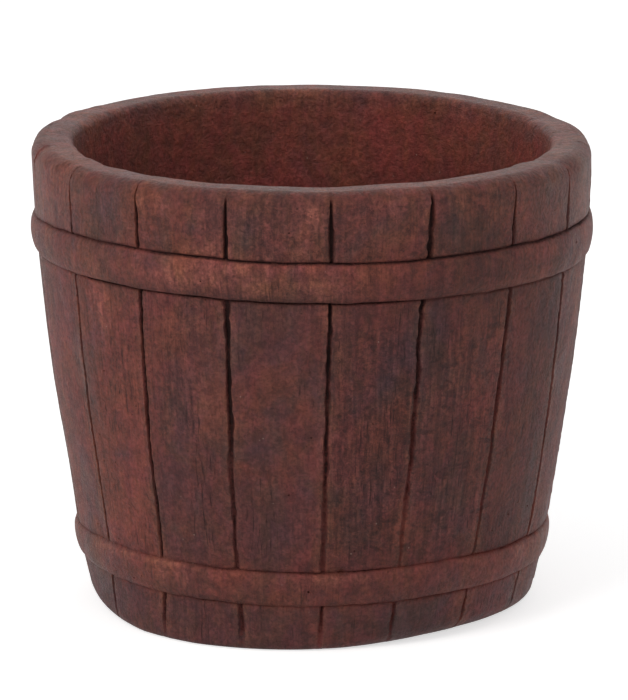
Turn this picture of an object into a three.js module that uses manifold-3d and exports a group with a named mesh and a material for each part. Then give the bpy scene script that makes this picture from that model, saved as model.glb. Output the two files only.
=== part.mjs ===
// Barrel planter: one heavy casting in stained concrete that is shaped like a coopered barrel, and the rubber
// stopper that closes its drain hole. Millimetres, +Z up, origin on the ground at the middle of the foot.
//
// The casting is a revolved section with the stave joints carved into it afterwards, the way the master for
// its mould is made: the pot is turned, with two flat hoops left proud of it, and then a knife cuts a joint
// line between every two staves.
import * as THREE from "three";
import { mergeVertices } from "three/addons/utils/BufferGeometryUtils.js";
import Module from "manifold-3d";

// Overall form
const HEIGHT = 337; // ground to the crown of the lip
const LIP_RADIUS = 200.6; // where the collar's slope would meet the crown, before the lip is rounded
const BASE_RADIUS = 157.5; // where the foot's slope would meet the ground, before its edge is rounded
const FOOT_TOP_STEP = 8.4; // the foot's top stands this far outside the base radius
const FOOT_EDGE_ROUND = 17;

// Stave wall between the hoops
const COLLAR_STEP = 4.4; // the wall's top stands this far inside the lip
const WALL_FOOT_STEP = 12.7; // the wall's bottom stands this far outside the base radius
const WALL_BELLY = 2.2; // outward bow of the wall, a barrel's bilge
const WALL_BELLY_STEPS = 4;

// Hoops: raised bands with a narrow crease above and below
const UPPER_HOOP_DROP = 50; // crown of the lip down to the hoop's top edge
const UPPER_HOOP_WIDTH = 28.5;
const LOWER_HOOP_LIFT = 34.8; // ground up to the hoop's bottom edge
const LOWER_HOOP_WIDTH = 25.4;
const UPPER_HOOP_RELIEF = 3.4; // the upper hoop's face in front of the wall under it
const UPPER_HOOP_FLARE = 1.6; // the hoop's top edge in front of its bottom edge
const LOWER_HOOP_RELIEF = 3.2; // the lower hoop's face in front of the foot under it
const LOWER_HOOP_FLARE = 2.4;
const HOOP_EDGE_ROUND = 3.4;
const CREASE_DEPTH = 1.6;
const CREASE_WIDTH = 2.8;

// Collar above the upper hoop, and the rolled lip on it
const COLLAR_FOOT_STEP = 2.6; // the collar's foot stands this far inside the lip
const LIP_THICKNESS = 30; // wall measured across the lip
const LIP_SHOULDER = 13; // the lip's outer corner is taken off this far down and in, then rounded
const LIP_OUTER_ROUND = 22;
const LIP_INNER_ROUND = 8;

// Inside
const FLOOR_THICKNESS = 32;
const WALL_AT_FLOOR = 19.5; // base radius to the inside corner of the floor
const FLOOR_ROUND = 14;

// Underside
const DISH_DEPTH = 3; // the middle of the underside is hollowed, so the pot stands on a ring
const FOOT_RING_WIDTH = 34;
const DISH_SLOPE = 4;

// Drain hole and its stopper
const DRAIN_RADIUS = 14;
const DRAIN_EDGE_ROUND = 1.5;
const STOPPER_CLEARANCE = 0.4; // round the shank
const SEAT_GAP = 0.3; // under the flange
const FLANGE_OVERHANG = 8; // the flange reaches this far past the hole's edge
const FLANGE_THICKNESS = 4;
const SHANK_TIP_GAP = 3; // the shank ends this far above the dish
const SHANK_TAPER = 1.6;
const RIB_HEIGHT = 1;
const RIB_PITCH = 7;
const RIB_TOP_GAP = 3; // bare shank under the flange
const KNOB_RADIUS = 9;
const KNOB_UNDERCUT = 3.5; // the neck stands this far inside the knob
const KNOB_NECK_HEIGHT = 4;
const KNOB_HEAD_HEIGHT = 5;

// Carved stave joints
const STAVE_COUNT = 17;
const FIRST_JOINT = 3.4; // degrees from the front, towards +X
const JOINT_WIDTH = 4.4;
const JOINT_FLOOR_WIDTH = 1.6;
const JOINT_DEPTH = 3.4;
const JOINT_RUN_OUT = 6; // the knife leaves the lip this far below its crown
const JOINT_WANDER = 0.35; // degrees the knife strays from a straight line
const CUTTER_PROUD = 4; // the cutter stands this far out of the surface that it cuts
const CREASE_LAP = 0.2; // a joint ends this far short of the middle of a hoop's crease
const BELOW_GROUND = 1; // the lowest cutters start this far under the foot
const STATION_SPACING = 40; // greatest height between two sections of a cutter
// Degrees by which each joint lies off even spacing, going round from the front towards +X
const JOINT_DRIFT = [
  0, -1.6, -1.5, -1.8, -1.2, -1.6, -0.3, -0.7, 0.4, -0.2, 0.9, 0.7, 1.6, 1.1, 2.1, 1.1, 0.1,
];
const JOINT_LEAN = 0.7; // degrees by which a joint jumps sideways where it passes under a hoop
const JOINT_AT_GROUND = 0.3; // share of a joint's depth that is left where it reaches the ground

// Fineness
const SEGMENTS_ROUND = 68; // four to a stave
const STOPPER_SEGMENTS = 32;
const ARC_STEP = 30; // degrees of turn for each short side of a rounded corner

const wasm = await Module();
wasm.setup();

// ---------------------------------------------------------------- sections

// A closed outline through the given corners [r, z, round], each corner replaced by an arc of that radius.
function roundedOutline(corners) {
  const outline = [];
  corners.forEach(([r, z, round = 0], i) => {
    const corner = new THREE.Vector2(r, z);
    const before = new THREE.Vector2(...corners.at(i - 1).slice(0, 2)).sub(corner);
    const after = new THREE.Vector2(...corners[(i + 1) % corners.length].slice(0, 2)).sub(corner);
    const turn = Math.PI - before.angleTo(after);
    if (!round || turn < THREE.MathUtils.degToRad(1)) {
      outline.push(corner);
      return;
    }
    const wanted = round * Math.tan(turn / 2);
    const tangent = Math.min(wanted, 0.48 * before.length(), 0.48 * after.length());
    const radius = tangent / Math.tan(turn / 2);
    before.normalize();
    after.normalize();
    const centre = before.clone().add(after).normalize();
    centre.multiplyScalar(Math.hypot(tangent, radius)).add(corner);
    const start = corner.clone().addScaledVector(before, tangent).sub(centre);
    const end = corner.clone().addScaledVector(after, tangent).sub(centre);
    let sweep = end.angle() - start.angle();
    if (sweep > Math.PI) sweep -= 2 * Math.PI;
    if (sweep < -Math.PI) sweep += 2 * Math.PI;
    const steps = Math.max(1, Math.round(THREE.MathUtils.radToDeg(turn) / ARC_STEP));
    for (let step = 0; step <= steps; step++)
      outline.push(start.clone().rotateAround(new THREE.Vector2(), (sweep * step) / steps).add(centre));
  });
  return outline;
}

// Revolves a closed outline, given anticlockwise in (r, z), about +Z.
function revolve(outline, segments) {
  const closed = [...outline, outline[0]].map((p) => new THREE.Vector2(p.x, p.y));
  return new THREE.LatheGeometry(closed, segments).rotateX(Math.PI / 2);
}

// ---------------------------------------------------------------- solids

function solidOf(geometry) {
  const bare = geometry.clone();
  bare.deleteAttribute("normal");
  bare.deleteAttribute("uv");
  const merged = mergeVertices(bare, 1e-4);
  const vertProperties = merged.attributes.position.array;
  const triVerts = new Uint32Array(merged.index.array);
  return new wasm.Manifold(new wasm.Mesh({ numProp: 3, vertProperties, triVerts }));
}

function geometryOf(solid) {
  const mesh = solid.getMesh();
  const geometry = new THREE.BufferGeometry();
  geometry.setAttribute("position", new THREE.BufferAttribute(mesh.vertProperties, 3));
  geometry.setIndex(new THREE.BufferAttribute(mesh.triVerts, 1));
  geometry.computeVertexNormals();
  return geometry;
}

// A closed skin over rings of points, each ring with as many points and in the same order.
function loft(rings) {
  const count = rings[0].length;
  const index = [];
  for (let ring = 0; ring < rings.length - 1; ring++)
    for (let i = 0; i < count; i++) {
      const a = ring * count + i;
      const b = ring * count + ((i + 1) % count);
      index.push(a, b, b + count, a, b + count, a + count);
    }
  const last = (rings.length - 1) * count;
  for (let i = 1; i < count - 1; i++) {
    index.push(0, i + 1, i);
    index.push(last, last + i, last + i + 1);
  }
  const geometry = new THREE.BufferGeometry().setFromPoints(rings.flat());
  geometry.setIndex(index);
  return geometry;
}

// ---------------------------------------------------------------- levels and radii shared by the pieces

const upperHoop = {
  bottom: HEIGHT - UPPER_HOOP_DROP - UPPER_HOOP_WIDTH,
  top: HEIGHT - UPPER_HOOP_DROP,
  relief: UPPER_HOOP_RELIEF,
  flare: UPPER_HOOP_FLARE,
};
const lowerHoop = {
  bottom: LOWER_HOOP_LIFT,
  top: LOWER_HOOP_LIFT + LOWER_HOOP_WIDTH,
  relief: LOWER_HOOP_RELIEF,
  flare: LOWER_HOOP_FLARE,
};
const wallTopRadius = LIP_RADIUS - COLLAR_STEP;
const wallBottomRadius = BASE_RADIUS + WALL_FOOT_STEP;
const footTopRadius = BASE_RADIUS + FOOT_TOP_STEP;
const collarFootRadius = LIP_RADIUS - COLLAR_FOOT_STEP;

// Radius of the plain tapered wall at a height, without its bow.
function taperRadius(z) {
  const share = (z - lowerHoop.top) / (upperHoop.bottom - lowerHoop.top);
  return THREE.MathUtils.lerp(wallBottomRadius, wallTopRadius, share);
}

// Corners of a hoop and its two creases, from its bottom edge up, between the radii of the surfaces below and
// above it.
function hoopCorners({ bottom, top, relief, flare }, below, above) {
  return [
    [below, bottom - CREASE_WIDTH / 2],
    [below - CREASE_DEPTH, bottom],
    [below + relief, bottom + CREASE_WIDTH / 2, HOOP_EDGE_ROUND],
    [below + relief + flare, top - CREASE_WIDTH / 2, HOOP_EDGE_ROUND],
    [above - CREASE_DEPTH, top],
    [above, top + CREASE_WIDTH / 2],
  ];
}

function wallCorners() {
  const low = lowerHoop.top + CREASE_WIDTH / 2;
  const high = upperHoop.bottom - CREASE_WIDTH / 2;
  const corners = [];
  for (let step = 1; step < WALL_BELLY_STEPS; step++) {
    const share = step / WALL_BELLY_STEPS;
    const z = THREE.MathUtils.lerp(low, high, share);
    corners.push([taperRadius(z) + WALL_BELLY * 4 * share * (1 - share), z]);
  }
  return corners;
}

// ---------------------------------------------------------------- casting

function castingOutline() {
  return roundedOutline([
    [DRAIN_RADIUS, DISH_DEPTH, DRAIN_EDGE_ROUND],
    [BASE_RADIUS - FOOT_EDGE_ROUND - FOOT_RING_WIDTH - DISH_SLOPE, DISH_DEPTH],
    [BASE_RADIUS - FOOT_EDGE_ROUND - FOOT_RING_WIDTH, 0],
    [BASE_RADIUS, 0, FOOT_EDGE_ROUND],
    ...hoopCorners(lowerHoop, footTopRadius, wallBottomRadius),
    ...wallCorners(),
    ...hoopCorners(upperHoop, wallTopRadius, collarFootRadius),
    [LIP_RADIUS, HEIGHT - LIP_SHOULDER, LIP_OUTER_ROUND],
    [LIP_RADIUS - LIP_SHOULDER, HEIGHT, LIP_OUTER_ROUND],
    [LIP_RADIUS - LIP_THICKNESS, HEIGHT, LIP_INNER_ROUND],
    [BASE_RADIUS - WALL_AT_FLOOR, FLOOR_THICKNESS, FLOOR_ROUND],
    [DRAIN_RADIUS, FLOOR_THICKNESS, DRAIN_EDGE_ROUND],
  ]);
}

// The casting's outer radius at a height, read off its outline.
function outerRadius(outline, z) {
  let radius = 0;
  outline.forEach((p, i) => {
    const q = outline[(i + 1) % outline.length];
    if (p.y > z === q.y > z) return;
    radius = Math.max(radius, THREE.MathUtils.mapLinear(z, p.y, q.y, p.x, q.x));
  });
  return radius;
}

// Heights at which a carving tool needs a section: every bend of the outer surface between two heights, and
// steps in between where the wall runs straight for long.
function stations(outline, from, to) {
  const bends = outline.filter((p) => p.y > from && p.y < to && p.x > outerRadius(outline, p.y) - 0.5);
  const levels = [from, ...bends.map((p) => p.y), to].sort((a, b) => a - b);
  const spread = [];
  levels.forEach((z, i) => {
    const next = levels[i + 1] ?? z;
    const steps = Math.max(1, Math.ceil((next - z) / STATION_SPACING));
    for (let step = 0; step < steps; step++) spread.push(z + ((next - z) * step) / steps);
  });
  return spread.filter((z, i) => i === 0 || z - spread[i - 1] > 0.3);
}

// Carving tool for one joint: a V with a narrow flat floor that follows the surface between two heights.
// depthAt gives its depth there as a share of JOINT_DEPTH.
function jointCutter(outline, azimuth, from, to, depthAt) {
  const flare = (CUTTER_PROUD * (JOINT_WIDTH - JOINT_FLOOR_WIDTH)) / 2 / JOINT_DEPTH;
  const rings = stations(outline, from, to).map((z) => {
    const share = (z - from) / (to - from);
    const wander = JOINT_WANDER * Math.sin(azimuth * 7 + share * 9);
    const angle = THREE.MathUtils.degToRad(azimuth + wander);
    const surface = outerRadius(outline, Math.max(z, 0.2));
    const floor = surface - JOINT_DEPTH * depthAt(share);
    const section = [
      [floor, JOINT_FLOOR_WIDTH / 2],
      [floor, -JOINT_FLOOR_WIDTH / 2],
      [surface + CUTTER_PROUD, -JOINT_WIDTH / 2 - flare],
      [surface + CUTTER_PROUD, JOINT_WIDTH / 2 + flare],
    ];
    return section.map(([out, across]) => {
      const x = out * Math.sin(angle) + across * Math.cos(angle);
      const y = -out * Math.cos(angle) + across * Math.sin(angle);
      return new THREE.Vector3(x, y, z);
    });
  });
  return solidOf(loft(rings));
}

// The three lengths of one joint: foot, wall and collar. Each stops at the hoops' creases.
function jointCutters(outline, joint) {
  const drift = JOINT_DRIFT[joint % JOINT_DRIFT.length];
  const azimuth = FIRST_JOINT + (joint * 360) / STAVE_COUNT + drift;
  const lean = JOINT_LEAN * Math.sin(joint * 2.4);
  const lipEnd = HEIGHT - JOINT_RUN_OUT;
  const deep = () => 1;
  const comeIn = (share) => THREE.MathUtils.lerp(JOINT_AT_GROUND, 1, share);
  const runOut = (share) => 1 - 0.9 * share ** 3;
  return [
    jointCutter(outline, azimuth - lean, -BELOW_GROUND, lowerHoop.bottom - CREASE_LAP, comeIn),
    jointCutter(outline, azimuth, lowerHoop.top + CREASE_LAP, upperHoop.bottom - CREASE_LAP, deep),
    jointCutter(outline, azimuth + lean, upperHoop.top + CREASE_LAP, lipEnd, runOut),
  ];
}

function casting() {
  const outline = castingOutline();
  let solid = solidOf(revolve(outline, SEGMENTS_ROUND));
  for (let joint = 0; joint < STAVE_COUNT; joint++)
    for (const cutter of jointCutters(outline, joint)) solid = solid.subtract(cutter);
  return geometryOf(solid);
}

// ---------------------------------------------------------------- stopper

function stopper() {
  const seat = FLOOR_THICKNESS + SEAT_GAP;
  const flangeTop = seat + FLANGE_THICKNESS;
  const flangeRadius = DRAIN_RADIUS + FLANGE_OVERHANG;
  const neck = KNOB_RADIUS - KNOB_UNDERCUT;
  const shank = DRAIN_RADIUS - STOPPER_CLEARANCE;
  const core = shank - RIB_HEIGHT;
  const tip = DISH_DEPTH + SHANK_TIP_GAP;
  const ribCount = Math.floor((seat - RIB_TOP_GAP - tip) / RIB_PITCH);
  const ribs = [];
  for (let rib = ribCount - 1; rib >= 0; rib--) {
    const top = seat - RIB_TOP_GAP - rib * RIB_PITCH;
    ribs.push([core, top - RIB_PITCH / 2], [shank, top - 1], [core, top]);
  }
  const outline = roundedOutline([
    [0, tip],
    [core - SHANK_TAPER, tip, 1.5],
    ...ribs,
    [core, seat],
    [flangeRadius, seat, 1],
    [flangeRadius, flangeTop, 2.2],
    [neck, flangeTop, 1.5],
    [neck, flangeTop + KNOB_NECK_HEIGHT, 1],
    [KNOB_RADIUS, flangeTop + KNOB_NECK_HEIGHT, 1.2],
    [KNOB_RADIUS, flangeTop + KNOB_NECK_HEIGHT + KNOB_HEAD_HEIGHT, 2.6],
    [0, flangeTop + KNOB_NECK_HEIGHT + KNOB_HEAD_HEIGHT],
  ]);
  return new THREE.LatheGeometry(outline, STOPPER_SEGMENTS).rotateX(Math.PI / 2);
}

// ---------------------------------------------------------------- assembly

const stainedConcrete = new THREE.MeshStandardMaterial({ color: 0x6b4038, roughness: 0.72, metalness: 0 });
const rubber = new THREE.MeshStandardMaterial({ color: 0x1c1b1b, roughness: 0.6, metalness: 0 });

const planter = new THREE.Group();

const barrelCasting = new THREE.Mesh(casting(), stainedConcrete);
barrelCasting.name = "barrel_casting";
planter.add(barrelCasting);

const drainStopper = new THREE.Mesh(stopper(), rubber);
drainStopper.name = "drain_stopper";
planter.add(drainStopper);

export default planter;
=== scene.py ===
"""Barrel planter: a pot cast in stained concrete, shaped like a coopered half barrel, with a rubber stopper.

Lengths are in metres. The planter's axis is Z, the ground is at z = 0 and the camera looks along +Y.
"""

import math
import random

import bmesh
import bpy
import numpy as np
from bpy.props import FloatProperty, FloatVectorProperty, IntProperty, PointerProperty
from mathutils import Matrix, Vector


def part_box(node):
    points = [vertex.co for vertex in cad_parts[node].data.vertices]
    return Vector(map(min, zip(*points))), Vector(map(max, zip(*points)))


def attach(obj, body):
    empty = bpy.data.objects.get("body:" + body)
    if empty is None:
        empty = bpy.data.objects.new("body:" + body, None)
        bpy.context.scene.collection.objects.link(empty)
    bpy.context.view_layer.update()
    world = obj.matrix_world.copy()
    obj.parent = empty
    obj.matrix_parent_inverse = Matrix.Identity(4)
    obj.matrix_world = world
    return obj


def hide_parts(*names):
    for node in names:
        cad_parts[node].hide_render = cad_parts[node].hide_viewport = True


bl_info = {
    "name": "Cast barrel planter",
    "version": (1, 0, 0),
    "blender": (4, 5, 0),
    "location": "3D View > Sidebar > Planter",
    "description": "Models a concrete planter shaped like a half barrel, with its stain and its stopper",
    "category": "Add Mesh",
}

MM = 0.001
FAR = 1e9  # further than anything in the scene
# The surface looks creased where it turns by more than this
CASTING_EDGE, RUBBER_EDGE = math.radians(62), math.radians(38)

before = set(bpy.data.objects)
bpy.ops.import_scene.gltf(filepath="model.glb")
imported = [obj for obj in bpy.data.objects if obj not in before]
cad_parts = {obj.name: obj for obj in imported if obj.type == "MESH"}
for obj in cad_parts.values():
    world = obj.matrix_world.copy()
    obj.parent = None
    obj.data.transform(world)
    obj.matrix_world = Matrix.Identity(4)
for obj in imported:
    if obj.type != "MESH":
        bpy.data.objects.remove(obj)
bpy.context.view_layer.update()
_, pot_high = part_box("barrel_casting")
stopper_low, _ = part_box("drain_stopper")


# ---------------------------------------------------------------- settings


def length(name, description, default):
    return FloatProperty(name=name, description=description, default=default, unit="LENGTH")


def stain_colour(name, description, default):
    return FloatVectorProperty(name=name, description=description, default=default, subtype="COLOR_GAMMA")


class BarrelSizes(bpy.types.PropertyGroup):
    """The casting's form"""

    height: length("Height", "Ground to the crown of the lip", pot_high.z)
    lip_radius: length("Lip Radius", "Where the collar's slope would meet the crown", 200.6 * MM)
    collar_foot_radius: length("Collar Foot Radius", "The collar just above the upper hoop", 198.2 * MM)
    wall_top_radius: length("Wall Top Radius", "The stave wall just under the upper hoop", 196.2 * MM)
    wall_foot_radius: length("Wall Foot Radius", "The stave wall just above the lower hoop", 170.2 * MM)
    wall_belly: length("Wall Belly", "How far the wall bows out between the hoops", 2.2 * MM)
    foot_top_radius: length("Foot Top Radius", "The foot just under the lower hoop", 165.9 * MM)
    base_radius: length("Base Radius", "Where the foot's slope would meet the ground", 157.5 * MM)
    foot_round: length("Foot Round", "Rounding of the foot's edge", 17 * MM)
    lip_thickness: length("Lip Thickness", "The wall measured across the lip", 30 * MM)
    lip_round: length("Lip Round", "How widely the lip's outer edge rolls over", 22 * MM)
    floor_thickness: length("Floor Thickness", "Ground to the inside floor", 32 * MM)
    floor_radius: length("Floor Radius", "The inside wall where it meets the floor", 138 * MM)
    drain_radius: length("Drain Radius", "The hole in the floor", 14 * MM)


class HoopSizes(bpy.types.PropertyGroup):
    """The two raised hoops"""

    upper_low: length("Upper Hoop Bottom", "Height of the upper hoop's bottom edge", 258.5 * MM)
    upper_high: length("Upper Hoop Top", "Height of the upper hoop's top edge", 287 * MM)
    lower_low: length("Lower Hoop Bottom", "Height of the lower hoop's bottom edge", 34.8 * MM)
    lower_high: length("Lower Hoop Top", "Height of the lower hoop's top edge", 60.2 * MM)
    upper_relief: length("Upper Relief", "How far the upper hoop's edges stand proud", 1.9 * MM)
    upper_crown: length("Upper Crown", "How far the upper hoop swells out between its edges", 2.1 * MM)
    lower_relief: length("Lower Relief", "How far the lower hoop's edges stand proud", 1.5 * MM)
    lower_crown: length("Lower Crown", "How far the lower hoop swells out between its edges", 1.7 * MM)
    crease: length("Crease", "Depth of the scored line along a hoop's edge", 1.7 * MM)


class CarvingSizes(bpy.types.PropertyGroup):
    """The stave joints that are carved into the wall"""

    depth: length("Joint Depth", "Depth of a carved joint", 3.0 * MM)
    half_width: length("Joint Half Width", "Half of a carved joint's width", 1.6 * MM)
    air_holes: IntProperty(
        name="Air Holes",
        description="Small open air holes left by the casting, all over the pot",
        default=120,
        min=0,
    )


class StainColours(bpy.types.PropertyGroup):
    """Colours of the concrete's stain, as seen in daylight"""

    red: stain_colour("Red", "The stain where it lies thick", (0.453, 0.233, 0.206))
    brown: stain_colour("Brown", "The stain where it has soaked in", (0.346, 0.201, 0.186))
    charcoal: stain_colour("Charcoal", "Smoky patches in the stain", (0.302, 0.207, 0.218))
    ochre: stain_colour("Ochre", "Rubbed edges where the cement shows through", (0.62, 0.375, 0.31))
    joint: stain_colour("Joint", "The bottom of the carved joints", (0.1, 0.04, 0.035))
    pigment: stain_colour("Pigment", "Bright stain that ran into the joints", (0.37, 0.14, 0.11))
    bare: stain_colour("Bare Concrete", "The underside, which was never stained", (0.5, 0.46, 0.42))
    rubber: stain_colour("Rubber", "The stopper", (0.12, 0.115, 0.115))


class StudioSettings(bpy.types.PropertyGroup):
    """Camera, lights and floor"""

    distance: length("Camera Distance", "Camera to the planter's axis, along the floor", 4.664)
    camera_height: length("Camera Height", "Camera above the floor", 1.3103)
    camera_pitch: FloatProperty(
        name="Camera Pitch",
        description="How far the camera looks down",
        default=0.2379,
        subtype="ANGLE",
        unit="ROTATION",
    )
    key_power: FloatProperty(
        name="Key Light",
        description="Power of the large light on the left",
        default=50.0,
        unit="POWER",
    )
    fill_power: FloatProperty(
        name="Fill Light",
        description="Power of the light on the right",
        default=9.0,
        unit="POWER",
    )
    ambient: FloatProperty(
        name="Ambient",
        description="Strength of the even light from all round",
        default=0.45,
        min=0,
    )


SETTINGS = {
    "planter_barrel": BarrelSizes,
    "planter_hoops": HoopSizes,
    "planter_carving": CarvingSizes,
    "planter_stain": StainColours,
    "planter_studio": StudioSettings,
}


# ---------------------------------------------------------------- small tools


def axis_distance(points):
    return np.hypot(points[:, 0], points[:, 1])


def smooth(t):
    t = np.clip(t, 0.0, 1.0)
    return t * t * (3 - 2 * t)


def wobble(along, step, seed):
    """A smooth random curve between -1 and 1, with a bend about every step."""
    knots = np.random.default_rng(seed).uniform(-1, 1, 256)
    u = np.asarray(along) / step + 64.0
    i = np.floor(u).astype(int)
    f = smooth(u - i)
    return knots[i % 256] * (1 - f) + knots[(i + 1) % 256] * f


def ring_wobble(azimuth, bends, seed):
    """The same all the way round, closing on itself."""
    knots = np.random.default_rng(seed).uniform(-1, 1, bends)
    u = (np.asarray(azimuth) / (2 * math.pi) % 1.0) * bends
    i = np.floor(u).astype(int)
    f = smooth(u - i)
    return knots[i % bends] * (1 - f) + knots[(i + 1) % bends] * f


def linear(colour):
    """A colour as seen, in the renderer's own scale."""
    part = [c / 12.92 if c <= 0.04045 else ((c + 0.055) / 1.055) ** 2.4 for c in colour[:3]]
    return (*part, 1.0)


def deselect_all():
    if bpy.context.object and bpy.context.object.mode != "OBJECT":
        bpy.ops.object.mode_set(mode="OBJECT")
    bpy.ops.object.select_all(action="DESELECT")


def spin_section(name, outline, steps, closed):
    """A primitive circle bent to an outline of (radius, height) and spun about Z into a closed skin."""
    deselect_all()
    bpy.ops.mesh.primitive_circle_add(vertices=len(outline), radius=0.1, location=(0, 0, 0))
    obj = bpy.context.object
    obj.name = obj.data.name = name
    for vertex, (r, z) in zip(obj.data.vertices, outline):
        vertex.co = (r, 0.0, z)
    bpy.ops.object.mode_set(mode="EDIT")
    bpy.ops.mesh.select_all(action="SELECT")
    if not closed:
        on_axis = bmesh.from_edit_mesh(obj.data)
        for edge in list(on_axis.edges):
            if all(v.co.x < 1e-7 for v in edge.verts):
                on_axis.edges.remove(edge)
        bmesh.update_edit_mesh(obj.data)
    bpy.ops.mesh.spin(steps=steps, angle=2 * math.pi, center=(0, 0, 0), axis=(0, 0, 1))
    bpy.ops.mesh.select_all(action="SELECT")
    bpy.ops.mesh.remove_doubles(threshold=1e-6)
    bpy.ops.mesh.normals_make_consistent(inside=False)
    bpy.ops.object.mode_set(mode="OBJECT")
    return obj


def rounded(corners, step=12.0):
    """An outline through corners (r, z, round), each corner replaced by an arc of that radius."""
    outline = []
    for i, (r, z, radius) in enumerate(corners):
        here = Vector((r, z))
        before = Vector(corners[i - 1][:2]) - here
        after = Vector(corners[(i + 1) % len(corners)][:2]) - here
        turn = math.pi - before.angle(after)
        if not radius or turn < math.radians(2):
            outline.append((r, z))
            continue
        tangent = min(radius * math.tan(turn / 2), 0.48 * before.length, 0.48 * after.length)
        start = here + before.normalized() * tangent
        end = here + after.normalized() * tangent
        count = max(2, round(math.degrees(turn) / step))
        for k in range(count + 1):
            t = k / count
            weight = math.cos(turn / 2)
            a, b, c = (1 - t) ** 2, 2 * t * (1 - t) * weight, t * t
            point = (start * a + here * b + end * c) / (a + b + c)
            outline.append((point.x, point.y))
    return outline


# ---------------------------------------------------------------- the casting

# Azimuth in degrees of each joint that faces the camera, at five levels: foot, wall foot, wall middle, wall
# top and collar. The rest of the joints are spaced evenly round the back with a little drift.
LEVELS = np.array([20.0, 75.0, 155.0, 250.0, 312.0]) * MM
FRONT_JOINTS = {
    14: (-59.0, -57.8, -57.8, -57.4, -58.0),
    15: (-39.0, -37.9, -38.2, -37.4, -37.5),
    16: (-17.5, -18.0, -17.7, -17.4, -17.4),
    0: (2.2, 2.8, 3.2, 3.7, 4.0),
    1: (20.2, 21.2, 22.3, 22.8, 24.7),
    2: (41.2, 42.4, 43.9, 45.0, 45.2),
    3: (62.6, 65.4, 65.3, 64.8, 65.4),
}
JOINTS = 17
# How wide and how deep each joint is cut, against the usual, and how much bright pigment lies in it
JOINT_WIDTHS = {14: 0.85, 15: 0.95, 16: 1.3, 0: 1.3, 1: 1.2, 2: 1.1, 3: 1.05}
JOINT_DEPTHS = {14: 1.5, 15: 1.05, 16: 1.2, 0: 1.12, 1: 1.0, 2: 0.78, 3: 0.6}
JOINT_PIGMENT = {14: 0.15, 15: 0.2, 16: 0.35, 0: 0.5, 1: 0.8, 2: 0.95, 3: 0.7}
# How much of its depth each joint loses from the upper hoop down to the lower one
JOINT_FADES = {14: 0.0, 15: 0.15, 16: 0.55, 0: 0.56, 1: 0.74, 2: 0.6, 3: 0.3}
# How far below the lip's crown each joint begins, in millimetres
JOINT_TOPS = {14: 12, 15: 8.5, 16: 10.6, 0: 9.2, 1: 8.8, 2: 9.5, 3: 10.5}

# Points across a joint, in half widths from its middle, with the share of the depth cut there
ACROSS = (0.0, 0.34, 0.66, 0.9, 1.1, 1.55)
CUT = (1.0, 0.92, 0.6, 0.2, -0.02, -0.03)

# Round the pot, in degrees: how far each hoop edge lies above its level in millimetres
HOOP_ROUND = (-90, -72, -60, -45, -30, -15, 0, 15, 30, 45, 60, 75, 90, 140, 180, 220)
LOWER_BOTTOM = (0.8, 0.9, 1.0, 0.2, -0.6, -0.7, -0.2, 0.3, 1.2, 1.0, 0.7, -0.6, -1.0, 0.4, -0.4, 0.6)
LOWER_TOP = (-3.6, 0.2, 1.8, 0.8, 0.4, -0.2, -0.9, 0.4, 1.6, 0.6, -0.2, -1.2, -2.0, 0.2, 0.8, 0.2)
UPPER_BOTTOM = (0.6, 0.6, 1.4, 2.0, 2.1, 1.4, 0.7, 0.1, -0.2, -1.2, -1.8, -2.6, -2.4, -0.8, 0.4, 0.2)
UPPER_TOP = (-5.2, -0.4, 1.6, 2.2, 2.6, 1.6, 1.0, 0.1, 0.6, 0.3, -0.9, -2.0, -4.2, 0.2, -0.6, 0.4)

# Round the pot, in degrees: how strongly each hoop edge is scored
CREASE_ROUND = (-90, -64, -46, -27, -6, 11, 29, 40, 61, 90, 130, 180, 225)
LOWER_BOTTOM_CREASE = (0.1, 0.1, 0.15, 0.5, 0.3, 0.5, 0.75, 0.6, 0.4, 0.2, 0.5, 0.3, 0.5)
LOWER_TOP_CREASE = (0.3, 0.25, 0.15, 0.5, 0.5, 0.75, 0.5, 0.6, 0.6, 0.5, 0.8, 0.5, 0.7)
UPPER_BOTTOM_CREASE = (0.3, 0.3, 1.05, 1.0, 1.0, 1.15, 0.7, 0.65, 0.55, 0.4, 0.8, 1.0, 0.6)
UPPER_TOP_CREASE = (0.4, 0.6, 0.7, 1.25, 1.15, 1.1, 0.9, 0.9, 0.95, 0.7, 1.0, 0.8, 1.1)

# Round the pot, in degrees: painted shading on each hoop, how much lighter it is painted along its top edge
# than along its bottom edge, as if lit from above
LOWER_PAINTED_SHADING = (0.1, 0.1, 0.15, 0.25, 0.4, 0.6, 0.4, 0.1, 0.2, 0.2, 0.2, 0.2, 0.3, 0.4, 0.2, 0.5)
UPPER_PAINTED_SHADING = (0.1, 0.1, 0.1, 0.2, 1.1, 1.6, 1.2, 0.6, 0.3, 0.15, 0.2, 0.3, 0.3, 0.6, 0.3, 0.6)

# Round the pot, in degrees: the rounding of the foot's edge, its lift off the ground and its swelling, in
# millimetres
FOOT_ROUND = (-100, -80, -62, -48, -30, -15, -5, 8, 20, 32, 45, 60, 75, 88, 100, 150, 205)
FOOT_ROUNDING = (19, 18, 10, 5, 4, 5, 6, 10, 17, 22, 23, 19, 13, 9, 10, 18, 17)
FOOT_LIFTS = (0, 0, 0, 0, 0, 0, 0, 0.1, 0.6, 1.2, 1.5, 1.3, 0.8, 0.4, 0.2, 0.1, 0)
FOOT_SWELL = (0, 0, 2.5, 6, 6.5, 4, 2, 0.5, 0, 0, 0, 0, 0, 0.5, 0, 0, 0)

# Round the pot, in degrees: how far the lip's crown lies above its level, in millimetres
LIP_ROUND = (-100, -70, -40, -12, 12, 35, 60, 90, 125, 150, 180, 215, 240)
LIP_LIFTS = (0.1, 0.4, -0.3, 1.0, 0.2, 0.8, -1.1, -1.9, -1.9, -1.8, -1.3, -1.0, -0.2)


def ring_table(azimuth, degrees, values):
    """Values given at a few azimuths, for any azimuth."""
    return np.interp(np.degrees(azimuth), degrees, values, period=360)


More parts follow.
